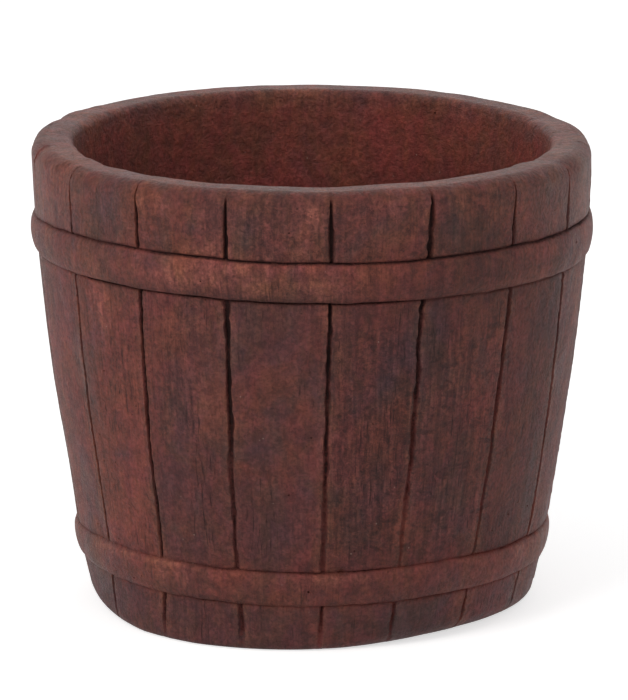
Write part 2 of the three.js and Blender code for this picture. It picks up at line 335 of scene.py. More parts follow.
def joint_table():
    """Azimuth of every joint at every level, in radians."""
    table = np.zeros((JOINTS, len(LEVELS)))
    first, last = np.array(FRONT_JOINTS[3]), np.array(FRONT_JOINTS[14]) + 360
    for joint in range(JOINTS):
        if joint in FRONT_JOINTS:
            table[joint] = FRONT_JOINTS[joint]
            continue
        share = (joint - 3) / 11
        table[joint] = first + (last - first) * share
        table[joint] += 0.5 * wobble(joint, 0.7, 5) + 0.45 * wobble(LEVELS, 60 * MM, 40 + joint)
    return np.radians(table)


def outer_rows(barrel, hoops):
    """Heights of the rows up the outside, close together along the hoops' edges."""
    near = np.array([-3.6, -2.3, -1.4, -0.7, 0.0, 0.6, 1.3, 2.2, 3.3, 4.7]) * MM
    rows = set()
    edges = [
        (hoops.lower_low, 1),
        (hoops.lower_high, -1),
        (hoops.upper_low, 1),
        (hoops.upper_high, -1),
    ]
    for level, side in edges:
        rows.update(level + near * side)
    beyond, within = 3.6 * MM, 4.7 * MM
    spans = [
        (14 * MM, hoops.lower_low - beyond, 2.6 * MM),
        (hoops.lower_low + within, hoops.lower_high - within, 3.0 * MM),
        (hoops.lower_high + beyond, hoops.upper_low - beyond, 2.25 * MM),
        (hoops.upper_low + within, hoops.upper_high - within, 3.0 * MM),
        (hoops.upper_high + beyond, barrel.height - barrel.lip_round - 2 * MM, 2.3 * MM),
    ]
    for low, high, spacing in spans:
        rows.update(np.linspace(low, high, max(2, round((high - low) / spacing) + 1)))
    kept = []
    for z in sorted(rows):
        if not kept or z - kept[-1] > 0.2 * MM:
            kept.append(z)
    return np.array(kept)


def plain_radius(z, barrel, hoops):
    """The turned surface under hoops and carving."""
    levels = [0.0, hoops.lower_low, hoops.lower_high, hoops.upper_low, hoops.upper_high, barrel.height]
    radii = [
        barrel.base_radius,
        barrel.foot_top_radius,
        barrel.wall_foot_radius,
        barrel.wall_top_radius,
        barrel.collar_foot_radius,
        barrel.lip_radius,
    ]
    share = np.clip((z - hoops.lower_high) / (hoops.upper_low - hoops.lower_high), 0, 1)
    return np.interp(z, levels, radii) + barrel.wall_belly * 4 * share * (1 - share)


def casting_section(barrel, hoops):
    """The closed outline of the wall, and the zone of each of its points."""
    rows = outer_rows(barrel, hoops)
    outside = [(plain_radius(z, barrel, hoops), z) for z in rows]
    inner_lip = barrel.lip_radius - barrel.lip_thickness

    dish, edge = 3 * MM, 1.5 * MM
    under = [(barrel.drain_radius, 4.5 * MM), (barrel.drain_radius + edge, dish)]
    under += [(r, dish) for r in np.linspace(34, 96, 5) * MM] + [(101 * MM, dish)]
    under += [(r * MM, 0.0) for r in (106.5, 112, 118, 125)]
    foot = rounded(
        [
            (133 * MM, 0, 0),
            (barrel.base_radius, 0, barrel.foot_round),
            (outside[0][0], outside[0][1], 0),
        ],
        step=7,
    )[1:-1]
    lip = rounded(
        [
            (outside[-1][0], outside[-1][1], 0),
            (barrel.lip_radius, barrel.height, barrel.lip_round),
            (inner_lip, barrel.height, 0.8 * (barrel.lip_thickness - barrel.lip_round)),
            (inner_lip - 2.7 * MM, barrel.height - 28 * MM, 0),
        ],
        step=6,
    )[1:-1]
    roll = [point for point in lip if point[0] > barrel.lip_radius - barrel.lip_round / 2]
    outside, lip = outside + roll, lip[len(roll) :]
    down = np.linspace(barrel.height - 18 * MM, barrel.floor_thickness + 16 * MM, 20)
    top = (inner_lip, barrel.height)
    low = (barrel.floor_radius, barrel.floor_thickness)
    inside = [(np.interp(z, [low[1], top[1]], [low[0], top[0]]), z) for z in down]
    floor = rounded(
        [(inside[-1][0], inside[-1][1], 0), (*low, 15 * MM), (100 * MM, low[1], 0)], step=14
    )[1:]
    floor += [(r, low[1]) for r in np.linspace(84, 24, 6) * MM]
    hole = [
        (barrel.drain_radius + edge, low[1]),
        (barrel.drain_radius, low[1] - edge),
        (barrel.drain_radius, low[1] - 12 * MM),
    ]
    parts = (under, foot, outside, lip, inside, floor, hole)
    outline = [point for part in parts for point in part]
    zones = [number for number, part in enumerate(parts) for _ in part]
    return np.array(outline), np.array(zones)


UNDER, FOOT, OUTSIDE, LIP, INSIDE, FLOOR, HOLE = range(7)


def column_plan():
    """For each column round the pot: its joint, side, half widths from the joint, and share of the stave."""
    plan = []
    for joint in range(JOINTS):
        between = 11 if joint in FRONT_JOINTS or joint == 13 else 8
        plan.append((joint, 1, 0.0, -1.0))
        plan += [(joint, 1, a, -1.0) for a in ACROSS[1:]]
        plan += [(joint, 0, 0.0, k / (between + 1)) for k in range(1, between + 1)]
        plan += [((joint + 1) % JOINTS, -1, a, -1.0) for a in ACROSS[:0:-1]]
    return plan


class BarrelCarver:
    """Works out where each vertex of the spun casting goes, row by row and column by column."""

    def __init__(self, barrel, hoops, carving):
        self.barrel, self.hoops, self.carving = barrel, hoops, carving
        self.outline, self.zones = casting_section(barrel, hoops)
        self.plan = np.array(column_plan())
        self.joints = joint_table()
        ahead = np.roll(self.outline, -1, 0) - np.roll(self.outline, 1, 0)
        ahead /= np.linalg.norm(ahead, axis=1)[:, None]
        self.normals = np.stack([ahead[:, 1], -ahead[:, 0]], 1)

    def level_of_rows(self):
        """The height that a row takes its joints' places from."""
        z = self.outline[:, 1].copy()
        inner = np.isin(self.zones, (LIP, INSIDE, FLOOR))
        z[inner] = z[self.zones == OUTSIDE][-1]
        hole = self.zones == HOLE
        z[hole] = np.linspace(z[inner][0], LEVELS[0], hole.sum() + 2)[1:-1]
        z[self.zones == UNDER] = LEVELS[0]
        return z

    def joint_run(self, z):
        """1 where a stave joint runs at a height, 0 on the hoops."""
        hoops = self.hoops
        soft = 0.5 * MM
        run = smooth((hoops.lower_low - z) / soft + 0.6)
        run += smooth((z - hoops.lower_high) / soft + 0.6) * smooth((hoops.upper_low - z) / soft + 0.6)
        run += smooth((z - hoops.upper_high) / soft + 0.6)
        return np.clip(run, 0, 1)

    def cut_depth(self, joint, z):
        """Depth of one joint along the outside."""
        rng = random.Random(joint * 13 + 1)
        deep = JOINT_DEPTHS.get(joint, rng.uniform(0.75, 1.1)) * self.carving.depth
        ragged = 0.2 * wobble(z, 13 * MM, 200 + joint) + 0.14 * wobble(z, 4.6 * MM, 300 + joint)
        depth = deep * (1 + ragged)
        lip_end = self.barrel.height - JOINT_TOPS.get(joint, rng.uniform(9, 12.5)) * MM
        depth *= smooth((lip_end + 7 * MM - z) / (7 * MM))
        below = z < self.hoops.lower_low
        fade = JOINT_FADES.get(joint, 0.1 + 0.1 * (joint % 4))
        span = self.hoops.upper_low - self.hoops.lower_high
        depth *= np.where(below, 1.0, 1 - fade * np.clip((self.hoops.upper_low - z) / span, 0, 1))
        at_ground = 0.3 + 0.7 * smooth(z / (18 * MM))
        return depth * np.where(below, 0.6 * at_ground * smooth(z / (2.5 * MM)), 1.0)

    def half_width(self, joint, side, z):
        rng = random.Random(joint * 29 + 3)
        wide = JOINT_WIDTHS.get(joint, rng.uniform(0.8, 1.15)) * self.carving.half_width
        seed = 500 + joint * 2 + (side > 0)
        ragged = 0.26 * wobble(z, 10 * MM, seed) + 0.26 * wobble(z, 3.2 * MM, seed + 90)
        slow = 0.2 * wobble(z, 45 * MM, 700 + joint)
        width = wide * (1 + ragged + slow)
        if joint == 16:
            width *= 1 + 0.55 * smooth((z - 240 * MM) / (18 * MM)) * (z < self.hoops.upper_low)
        if joint == 1:
            crumbled = smooth((z - 185 * MM) / (20 * MM))
            width *= 1 + crumbled * (0.2 + 0.6 * wobble(z, 4.5 * MM, seed + 33))
        width *= np.where(z < self.hoops.lower_low, 0.95, 1.0)
        width *= 0.5 + 0.5 * smooth((self.barrel.height - 8 * MM - z) / (20 * MM))
        return np.clip(width, 0.5 * MM, None)

    def knife(self, joint, z):
        """How far the knife strays from a joint's line, in radians."""
        stray = 0.5 * wobble(z, 34 * MM, 900 + joint) + 0.28 * wobble(z, 12 * MM, 950 + joint)
        stray += 0.2 * wobble(z, 4.5 * MM, 990 + joint)
        return stray * MM / (185 * MM)

    def azimuths(self, columns, level, radius):
        """Where the columns stand: joints wander with height, and the staves between them follow."""
        plan = self.plan[columns]
        joint = plan[:, 0].astype(int)
        side, unit, share = plan[:, 1], plan[:, 2], plan[:, 3]
        centre, following = np.zeros(len(level)), np.zeros(len(level))
        here, ahead = np.zeros(len(level)), np.zeros(len(level))
        depth = np.zeros(len(level))
        for j in range(JOINTS):
            mine = joint == j
            lv = level[mine]
            after = (j + 1) % JOINTS
            turn = 2 * math.pi if self.joints[after][0] < self.joints[j][0] else 0.0
            centre[mine] = np.interp(lv, LEVELS, self.joints[j]) + self.knife(j, lv)
            following[mine] = np.interp(lv, LEVELS, self.joints[after]) + self.knife(after, lv) + turn
            here[mine] = self.half_width(j, 1, lv)
            ahead[mine] = self.half_width(after, -1, lv)
            left = mine & (side < 0)
            here[left] = self.half_width(j, -1, level[left])
            depth[mine] = self.cut_depth(j, lv)
        reach = np.maximum(radius, 150 * MM)
        azimuth = centre + side * unit * here / reach
        between = share > 0
        start = centre + ACROSS[-1] * here / reach
        end = following - ACROSS[-1] * ahead / reach
        azimuth[between] = (start + (end - start) * share)[between]
        return azimuth, depth

    def hoop_shift(self, azimuth, z):
        """How far the hoops' wandering edges carry each row up or down."""
        hoops = self.hoops
        fine = [
            0.35 * ring_wobble(azimuth, 47, 12 + k) + 0.35 * ring_wobble(azimuth, 140, 16 + k)
            for k in range(4)
        ]
        tables = (LOWER_BOTTOM, LOWER_TOP, UPPER_BOTTOM, UPPER_TOP)
        edges = [(ring_table(azimuth, HOOP_ROUND, t) + f) * MM for t, f in zip(tables, fine)]
        middle = 0.5 * (hoops.lower_high + hoops.upper_low)
        anchors = [14 * MM, hoops.lower_low, hoops.lower_high, middle, hoops.upper_low, hoops.upper_high]
        anchors.append(self.barrel.height - 14 * MM)
        shifts = [None, edges[0], edges[1], None, edges[2], edges[3], None]
        shift = np.zeros(len(z))
        for k, moved in enumerate(shifts):
            if moved is not None:
                shift += np.interp(z, anchors[k - 1 : k + 2], [0, 1, 0]) * moved
        return shift

    def hoop_relief(self, azimuth, z, outer):
        """How far the hoops stand out, how deep their creases are, and where the hoops are."""
        hoops = self.hoops
        out, creased, raised = np.zeros(len(z)), np.zeros(len(z)), np.zeros(len(z))
        lower = (LOWER_BOTTOM_CREASE, LOWER_TOP_CREASE)
        upper = (UPPER_BOTTOM_CREASE, UPPER_TOP_CREASE)
        specs = (
            (hoops.lower_low, hoops.lower_high, hoops.lower_relief, hoops.lower_crown, 21, lower),
            (hoops.upper_low, hoops.upper_high, hoops.upper_relief, hoops.upper_crown, 22, upper),
        )
        for low, high, relief, swell, seed, strengths in specs:
            height = 1 + 0.15 * ring_wobble(azimuth, 16, seed) + 0.07 * ring_wobble(azimuth, 60, seed + 7)
            height *= relief * (1 - 0.14 * np.clip(-np.sin(azimuth), 0, 1))
            from_low, from_high = z - low, high - z
            round_low = np.sqrt(1 - (1 - np.clip(from_low / (4.6 * MM), 0, 1)) ** 2)
            round_high = np.sqrt(1 - (1 - np.clip(from_high / (4.9 * MM), 0, 1)) ** 2)
            middle = np.clip(from_low / (high - low), 0, 1)
            crown = swell * 4 * middle * (1 - middle)
            body = (height + crown) * round_low * round_high
            out += np.where(outer & (from_low > 0) & (from_high > 0), body, 0)
            raised += outer * smooth(from_low / MM + 0.5) * smooth(from_high / MM + 0.5)
            for offset, strength, salt in zip((from_low, from_high), strengths, (1, 2)):
                vary = ring_table(azimuth, CREASE_ROUND, strength)
                vary *= 1 + 0.22 * ring_wobble(azimuth, 30, seed + salt)
                vary += 0.22 * vary * ring_wobble(azimuth, 110, seed + salt + 4)
                vary = np.clip(vary, 0.04, 1.35)
                dip = np.exp(-((offset / (0.95 * MM)) ** 2)) * outer
                out -= hoops.crease * vary * dip
                creased = np.maximum(creased, np.clip(vary, 0, 1) * dip)
        return out, creased, raised

    def foot_place(self, azimuth, rows, r, z):
        """The foot's rounded edge, which is fuller on the left and worn away on the right."""
        rounding = ring_table(azimuth, FOOT_ROUND, FOOT_ROUNDING) * MM
        lift = ring_table(azimuth, FOOT_ROUND, FOOT_LIFTS) * MM
        swell = ring_table(azimuth, FOOT_ROUND, FOOT_SWELL) * MM
        low = self.hoops.lower_low
        top_r, top_z = self.outline[self.zones == OUTSIDE][0]
        base = self.barrel.base_radius + swell
        lean = np.arctan((top_r + swell * (1 - top_z / low) - base) / top_z)
        turn = math.pi / 2 - lean
        start = base - rounding * np.tan(turn / 2)
        reach = rounding * (1 - np.cos(turn))
        r = r + swell * np.clip(1 - z / low, 0, 1) * (self.zones[rows] == OUTSIDE)

        first = np.flatnonzero(self.zones == FOOT)[0]
        share = (rows - first + 0.5) / (np.count_nonzero(self.zones == FOOT) + 0.5)
        last = np.where(reach > top_z, np.arccos(np.clip(1 - top_z / rounding, -1, 1)), turn)
        arc = rounding * last
        line = np.clip(top_z - reach, 0, None) / np.cos(lean)
        along = share * (arc + line)
        angle = np.minimum(along, arc) / rounding
        beyond = np.clip(along - arc, 0, None)
        foot_r = start + rounding * np.sin(angle) + beyond * np.sin(lean)
        foot_z = rounding * (1 - np.cos(angle)) + beyond * np.cos(lean)
        in_foot = self.zones[rows] == FOOT
        r, z = np.where(in_foot, foot_r, r), np.where(in_foot, foot_z, z)

        above = (self.zones[rows] == OUTSIDE) & (z < reach)
        arc_r = start + np.sqrt(np.clip(rounding**2 - (rounding - z) ** 2, 0, None))
        r = np.where(above, np.minimum(arc_r, r), r)
        under = self.zones[rows] == UNDER
        raise_by = lift * smooth((26 * MM - z) / (26 * MM)) * smooth((r - 112 * MM) / (22 * MM))
        z = z + np.where(in_foot | above | under, raise_by, 0.0)
        return r, z

    def place(self, rows, columns):
        """Position, finish and weathering of every vertex, given its row and column."""
        barrel = self.barrel
        r, z = self.outline[rows, 0].copy(), self.outline[rows, 1].copy()
        zone = self.zones[rows]
        flat_z = z.copy()
        outer = zone == OUTSIDE
        plan = self.plan[columns]
        joint, side, unit, share = plan[:, 0].astype(int), plan[:, 1], plan[:, 2], plan[:, 3]
        between = share > 0
        azimuth, depth = self.azimuths(columns, self.level_of_rows()[rows], r)
        out, creased, raised = self.hoop_relief(azimuth, flat_z, outer)

        profile = np.interp(unit, ACROSS, CUT)
        profile[between] = 0.0
        run = np.where(outer | (zone == FOOT), self.joint_run(flat_z), 0.0)
        crumbs = np.random.default_rng(8).uniform(-1, 1, len(r)) * run * (~between) * (unit > 0.5)
        out -= depth * profile * run - 0.16 * MM * crumbs
        carved = np.clip(profile, 0, 1) * run * np.clip(0.12 + 0.88 * depth / self.carving.depth, 0, 1.1)

        stave = np.where(side < 0, (joint - 1) % JOINTS, joint)
        proud = np.array([random.Random(k + 70).uniform(-0.35, 0.35) for k in range(JOINTS)]) * MM
        roll_end = smooth((barrel.height - 5 * MM - flat_z) / (17 * MM))
        out += np.where(outer, proud[stave] * (1 - raised), 0.0) * roll_end
        out += self.uneven(azimuth, z, zone)
        left, low = np.clip(-np.sin(azimuth), 0, 1) ** 2, smooth(1 - np.abs(z - 100 * MM) / (75 * MM))
        out -= 1.5 * MM * left * low * outer

        r, z = self.foot_place(azimuth, rows, r, z)
        z = z + self.hoop_shift(azimuth, flat_z) * outer
        lip = smooth((flat_z - (barrel.height - 24 * MM)) / (16 * MM)) * np.isin(zone, (OUTSIDE, LIP, INSIDE))
        z = z + ring_table(azimuth, LIP_ROUND, LIP_LIFTS) * MM * lip
        normal = self.normals[rows]
        r = r + out * normal[:, 0]
        z = z + out * normal[:, 1]
        z = np.where(np.isin(zone, (UNDER, FOOT)), np.maximum(z, 0.0), z)
        position = np.stack([r * np.sin(azimuth), -r * np.cos(azimuth), z], 1)

        worn = np.interp(unit, [0.9, 1.1, 1.55], [0, 0.9, 0.4]) * run * (~between) * (side != 0)
        # On the lip the stain is rubbed lighter and glossier: partly wear, partly a painted highlight along
        # the crown.
        worn = np.maximum(worn, 0.55 * (zone == LIP))
        worn = np.maximum(worn, raised * 0.22 * (1 - creased))
        collar = smooth((flat_z - self.hoops.upper_high) / (3 * MM)) * outer
        worn = np.maximum(worn, 0.38 * collar * (1 - run * profile))
        # The hoops' painted shading is added to the tone here.
        tone = self.tone(stave, flat_z, zone, azimuth) + self.painted_hoop_shading(azimuth, flat_z) * outer
        finish = np.stack([np.maximum(carved, 0.9 * creased), np.clip(worn, 0, 1), tone, raised], 1)
        pigment = np.array([JOINT_PIGMENT.get(k, 0.2 + 0.06 * (k % 5)) for k in range(JOINTS)])[joint]
        pigment = pigment * smooth((265 * MM - flat_z) / (150 * MM)) + 0.2 * (flat_z < self.hoops.lower_low)
        inside = smooth((barrel.height - 4 * MM - z) / (13 * MM)) * np.isin(zone, (LIP, INSIDE, FLOOR))
        inside = np.where(np.isin(zone, (FLOOR, HOLE)), 1.0, inside) * (r < 178 * MM)
        smoky = 0.3 * smooth((self.hoops.lower_low - flat_z) / (8 * MM)) * (zone != UNDER)
        weather = np.stack([smoky, np.zeros(len(r)), np.clip(pigment, 0, 1), inside], 1)
        return position, finish, weather, azimuth

    def tone(self, stave, z, zone, azimuth):
        """How light the stain is: every stave was brushed by itself, the rest in one go. The inside is made
        lighter, most towards the back, and the lip lighter as a painted highlight.
        """
        tones = np.array([random.Random(k * 7 + 5).uniform(0.3, 0.62) for k in range(JOINTS)])
        tones[[13, 14, 15, 16]] = (0.6, 0.57, 0.47, 0.44)
        tones[[0, 1, 2, 3]] = (0.25, 0.3, 0.14, 0.42)
        wall = smooth((z - self.hoops.lower_high) / (2 * MM)) * smooth((self.hoops.upper_low - z) / (2 * MM))
        wall *= zone == OUTSIDE
        back = smooth((-np.cos(azimuth) - 0.3) / 0.7)
        # The lip's tone is raised as a painted highlight; the inside is lighter, most towards the back.
        inner = (0.06 + 0.14 * back) * (zone == INSIDE) + 0.1 * (zone == LIP)
        return 0.46 + (tones[stave] - 0.46) * wall + inner

    def painted_hoop_shading(self, azimuth, z):
        """Painted shading on the hoops: lighter along their top edges and darker along their bottom edges, as
        if lit from above.
        """
        hoops = self.hoops
        found = np.zeros(len(z))
        pairs = (
            (hoops.lower_low, hoops.lower_high, LOWER_PAINTED_SHADING),
            (hoops.upper_low, hoops.upper_high, UPPER_PAINTED_SHADING),
        )
        for low, high, table in pairs:
            share = (z - low) / (high - low)
            change = np.interp(share, [0, 0.25, 0.5, 0.75, 0.9, 1], [-0.26, -0.15, -0.04, 0.12, 0.4, 0.4])
            vary = 1 + 0.35 * ring_wobble(azimuth, 40, 61) * wobble(z, 9 * MM, 62)
            change = np.where((share > 0) & (share < 1), change, 0)
            found += change * ring_table(azimuth, HOOP_ROUND, table) * vary
        return found

    def uneven(self, azimuth, z, zone):
        """Swells and hollows of the hand-finished surface, along its normal."""
        swell = 0.5 * MM * ring_wobble(azimuth + 0.9 * wobble(z, 120 * MM, 31), 18, 32)
        swell *= wobble(z, 60 * MM, 33)
        bent = azimuth + 0.5 * wobble(z, 30 * MM, 41)
        swell += 0.22 * MM * ring_wobble(bent, 55, 42) * wobble(z, 17 * MM, 43)
        lip = np.where(zone == LIP, 1.0, 0.0)
        lip = lip + smooth((z - (self.barrel.height - 26 * MM)) / (12 * MM)) * (zone == OUTSIDE)
        rough = 0.35 + 0.65 * smooth((np.abs(np.sin(azimuth)) - 0.55) / 0.35)
        rolling = 0.5 * ring_wobble(azimuth, 21, 34) + rough * 0.62 * ring_wobble(azimuth, 60, 35)
        rolling += rough * 0.42 * ring_wobble(azimuth + 0.06 * wobble(z, 6 * MM, 45), 130, 36)
        swell += np.clip(lip, 0, 1) * MM * 0.95 * (rolling - 0.15)
        inner = np.isin(zone, (INSIDE, FLOOR))
        bulge = ring_wobble(azimuth + 1.2 * wobble(z, 90 * MM, 37), 15, 38) * wobble(z, 70 * MM, 39)
        swell += inner * 0.8 * MM * bulge
        return swell * (zone != UNDER) * (zone != HOLE) * (zone != FOOT)


def match_grid(mesh, outline, steps):
    """Row and column of each vertex of a spun outline."""
    co = np.zeros(len(mesh.vertices) * 3)
    mesh.vertices.foreach_get("co", co)
    co = co.reshape(-1, 3)
    r = axis_distance(co)
    rows = np.zeros(len(co), int)
    best = np.full(len(co), FAR)
    for k, (pr, pz) in enumerate(outline):
        gap = (r - pr) ** 2 + (co[:, 2] - pz) ** 2
        closer = gap < best
        rows[closer], best[closer] = k, gap[closer]
    turn = np.arctan2(co[:, 1], co[:, 0]) / (2 * math.pi) * steps
    return rows, np.rint(turn).astype(int) % steps


def write_colours(mesh, name, values):
    layer = mesh.attributes.new(name, "FLOAT_COLOR", "POINT")
    layer.data.foreach_set("color", values.astype(np.float32).ravel())


def press_air_hole(bm, face, radius, depth, layer, rng):
    """Replaces a face with a small round pit: a ring of eight corners, a narrower ring below and a bottom."""
    corners = list(face.verts)
    centre = face.calc_center_median()
    normal = face.normal.copy()
    radius = min(radius, 0.42 * min(e.calc_length() for e in face.edges))
    axis_a = (corners[0].co - centre).normalized()
    axis_a = (axis_a - normal * axis_a.dot(normal)).normalized()
    axis_b = normal.cross(axis_a)
    angles = []
    for corner in corners:
        arm = corner.co - centre
        angles.append(math.atan2(arm.dot(axis_b), arm.dot(axis_a)) % (2 * math.pi))
    angles[0] = 0.0
    ring_angles = []
    for k in range(4):
        here, after = angles[k], angles[(k + 1) % 4] or 2 * math.pi
        ring_angles += [here, (here + after) / 2]
    plain = corners[0][layer].copy()
    rim, wall = [], []
    for angle in ring_angles:
        arm = axis_a * math.cos(angle) + axis_b * math.sin(angle)
        reach = radius * rng.uniform(0.82, 1.15)
        rim.append(bm.verts.new(centre + arm * reach))
        wall.append(bm.verts.new(centre + arm * reach * 0.72 - normal * depth * 0.7))
    bottom = bm.verts.new(centre - normal * depth)
    for vertex in rim:
        # The rim is marked a little rubbed; the wall and bottom are marked as carved, so they take the
        # joints' dark colour: painted shade inside the pit.
        vertex[layer] = Vector((0.1, 0.3, plain[2], plain[3]))
    for vertex in wall + [bottom]:
        vertex[layer] = Vector((0.75, 0.0, plain[2], plain[3]))
    made = []
    for k in range(4):
        a, b = corners[k], corners[(k + 1) % 4]
        made.append(bm.faces.new([a, b, rim[(2 * k + 2) % 8], rim[2 * k + 1], rim[2 * k]]))
    for k in range(8):
        n = (k + 1) % 8
        made.append(bm.faces.new([rim[k], rim[n], wall[n], wall[k]]))
        made.append(bm.faces.new([wall[k], wall[n], bottom]))
    for new in made:
        new.material_index = face.material_index
        new.smooth = True
    bm.faces.remove(face)


OUTSIDE_FROM = 155 * MM  # whatever lies further from the axis than this is on the outside
SMALLEST_FACE = 1.2 * MM  # faces with a shorter edge than this get no air hole
SCATTERED_RADII = (0.35, 0.45, 0.45, 0.6, 0.8)  # millimetres, of the air holes that are not marked

# Air holes that stand out from the front: azimuth in degrees, height and radius in millimetres
MARKED_HOLES = (
    (22.2, 326, 0.9),
    (68.0, 276, 1.0),
    (-4.1, 310, 0.8),
    (-22.1, 274, 0.8),
    (61.5, 85, 1.0),
    (56.4, 93, 0.8),
    (53.7, 85, 0.9),
    (47.5, 77, 0.9),
    (-62.3, 71, 1.0),
    (-54.0, 66, 0.8),
    (-1.1, 48, 1.0),
    (-5.3, 119, 0.9),
    (12.5, 170, 0.7),
    (-50.2, 194, 0.8),
    (-50.8, 127, 0.7),
    (9.6, 75, 0.8),
)

# Chips and dents: azimuth in degrees, height, radius and depth in millimetres
CHIPS = (
    (6.7, 60.6, 3.6, 2.0),
    (-61.0, 331, 13, 1.6),
    (-78.0, 333, 9, 1.5),
    (-49.0, 333, 10, 1.2),
    (-14.0, 334.5, 6, 0.8),
    (57.0, 334, 12, 1.3),
    (66.0, 331, 9, 1.3),
    (38.0, 334, 8, 0.7),
    (-33.0, 59.5, 4.0, 1.1),
    (31.0, 36.5, 5.0, 1.2),
    (120.0, 61.0, 5.0, 1.8),
    (171.0, 259.0, 5.5, 1.7),
    (215.0, 287.0, 5.0, 1.5),
    (250.0, 332.0, 12, 1.7),
    (150.0, 333.0, 9, 1.5),
    (200.0, 12.0, 9, 1.8),
    (95.0, 8.0, 8, 1.6),
    (-84.0, 10.0, 10, 1.2),
)

# Smoky smudges and rubbed places: azimuth in degrees, height, half length and half width in millimetres, lean
# in degrees from upright, and strength, which is below 0 for a rubbed place
MARKS = (
    (17.0, 207, 40, 13, 32, 0.9),
    (-31.0, 163, 48, 20, 6, 0.55),
    (-47.0, 134, 12, 3.5, 80, 0.7),
    (-13.0, 246, 20, 14, 10, 0.5),
    (-35.0, 282, 15, 4.5, 88, 0.6),
    (-55.0, 268, 13, 4, 84, 0.5),
    (-46.0, 315, 20, 9, 45, 0.5),
    (-24.5, 311, 7, 4, 70, 0.7),
    (-13.5, 303, 19, 6, 28, 0.65),
    (14.0, 312, 14, 12, 20, 0.6),
    (30.0, 309, 13, 10, -15, 0.5),
    (55.0, 300, 15, 8, 10, 0.35),
    (31.0, 120, 30, 12, -8, 0.45),
    (12.0, 100, 34, 14, 12, 0.45),
    (-8.0, 88, 26, 14, -10, 0.45),
    (-26.0, 250, 22, 9, 5, 0.4),
    (26.0, 228, 26, 9, 10, 0.4),
    (-26.0, 92, 26, 15, 0, 0.4),
    (36.0, 48, 16, 9, 80, 0.45),
    (-52.0, 20, 22, 7, 85, 0.4),
    (22.0, 20, 22, 7, 85, 0.35),
    (112.0, 180, 42, 17, 10, 0.6),
    (150.0, 230, 30, 14, -25, 0.6),
    (178.0, 120, 44, 18, 12, 0.5),
    (205.0, 305, 18, 8, 60, 0.6),
    (240.0, 160, 46, 15, -14, 0.55),
    (262.0, 90, 26, 13, 20, 0.5),
    (135.0, 48, 22, 9, 85, 0.5),
    (190.0, 273, 24, 7, 86, 0.5),
    (-31.0, 328, 11, 4.5, 85, -0.9),
    (0.5, 325, 7, 7, 0, -0.9),
    (-28.0, 274, 38, 8, 88, -1.0),
    (-4.0, 271, 30, 8, 88, -1.0),
    (23.0, 318, 12, 4, 80, -0.6),
    (5.5, 222, 26, 3, 2, -0.6),
    (42.0, 210, 32, 9, 8, -0.35),
    (-24.0, 205, 34, 11, -6, -0.35),
    (-50.0, 240, 26, 12, 6, -0.4),
    (5.0, 55, 22, 5, 88, -0.7),
    (-36.0, 52, 26, 8, 88, -0.4),
    (60.0, 52, 22, 6, 88, -0.5),
    (98.0, 60, 24, 5, 88, -0.6),
    (140.0, 270, 26, 8, 88, -0.6),
    (225.0, 200, 34, 12, 10, -0.45),
    (165.0, 325, 14, 6, 80, -0.7),
    (-36.0, 285.5, 26, 3.0, 88, 0.6),
    (-20.0, 293, 16, 5, 86, -0.5),
    (-30.0, 322, 22, 4.5, 86, -0.9),
    (-45.0, 58.0, 42, 2.2, 89, -1.0),
    (79.0, 222, 24, 8, 4, -0.8),
    (74.0, 196, 14, 6, 4, -0.6),
)


# Places where the stain lies thick and dark, on the outside: azimuth in degrees, height, half length and half
# width in millimetres, and strength, which is below 0 where it lies thin
THICK_STAIN = (
    (-2.0, 312, 22, 34, -0.3),
    (-42.0, 312, 22, 50, -0.12),
    (35.0, 270, 17, 66, 1.25),
    (35.0, 302, 27, 50, 0.85),
    (10.0, 302, 16, 24, 0.35),
    (40.0, 250, 60, 30, 0.3),
    (20.0, 14, 16, 80, 0.42),
    (10.0, 47, 12, 56, 0.5),
    (44.0, 47, 12, 44, 0.26),
    (-17.0, 262, 7, 60, 0.45),
    (140.0, 272, 18, 60, 0.8),
    (205.0, 300, 26, 50, 0.6),
    (228.0, 120, 60, 46, 0.5),
    (165.0, 180, 70, 40, 0.4),
)


def turn_from(azimuth, degrees):
    return (azimuth - math.radians(degrees) + math.pi) % (2 * math.pi) - math.pi


def chip_edges(position, azimuth):
    """Pushes the surface in at the chips."""
    r = axis_distance(position)
    mark = np.zeros(len(r))
    for angle, height, radius, depth in CHIPS:
        gap = np.sqrt((turn_from(azimuth, angle) * r) ** 2 + (position[:, 2] - height * MM) ** 2)
        bite = smooth(1.25 * (1 - gap / (radius * MM))) * (r > 120 * MM) * (r > 160 * MM * (height > 100))
        position[:, 0] -= np.sin(azimuth) * bite * depth * MM
        position[:, 1] += np.cos(azimuth) * bite * depth * MM
        mark = np.maximum(mark, bite)
    return mark


def thicken_stain(position, azimuth, finish):
    """Darkens the stain's tone where it lies thick."""
    r = axis_distance(position)
    for angle, height, length, width, strength in THICK_STAIN:
        across, up = turn_from(azimuth, angle) * r / MM, position[:, 2] / MM - height
        amount = np.exp(-((up / length) ** 2) - (across / width) ** 2) * (r > 150 * MM)
        finish[:, 2] *= np.clip(1 - 0.8 * strength * amount, 0, None)


# Places brushed hard while wet: azimuth in degrees and its half width, height in millimetres and its half
# width, and strength
BRUSHED = (
    (25.0, 23, 155, 88, 1.0),
    (16.0, 34, 308, 24, 0.7),
    (-30.0, 46, 310, 20, 0.35),
    (20.0, 60, 272, 16, 0.4),
    (-44.0, 22, 210, 60, 0.45),
    (170.0, 40, 150, 90, 0.8),
    (250.0, 25, 200, 60, 0.5),
)


def brushing(position, azimuth):
    """How hard each place was brushed."""
    found = np.zeros(len(azimuth))
    for angle, width, height, length, strength in BRUSHED:
        across = np.abs(np.degrees(turn_from(azimuth, angle))) / width
        up = np.abs(position[:, 2] / MM - height) / length
        found = np.maximum(found, strength * smooth(3 * (1.1 - across)) * smooth(4 * (1.1 - up)))
    return found


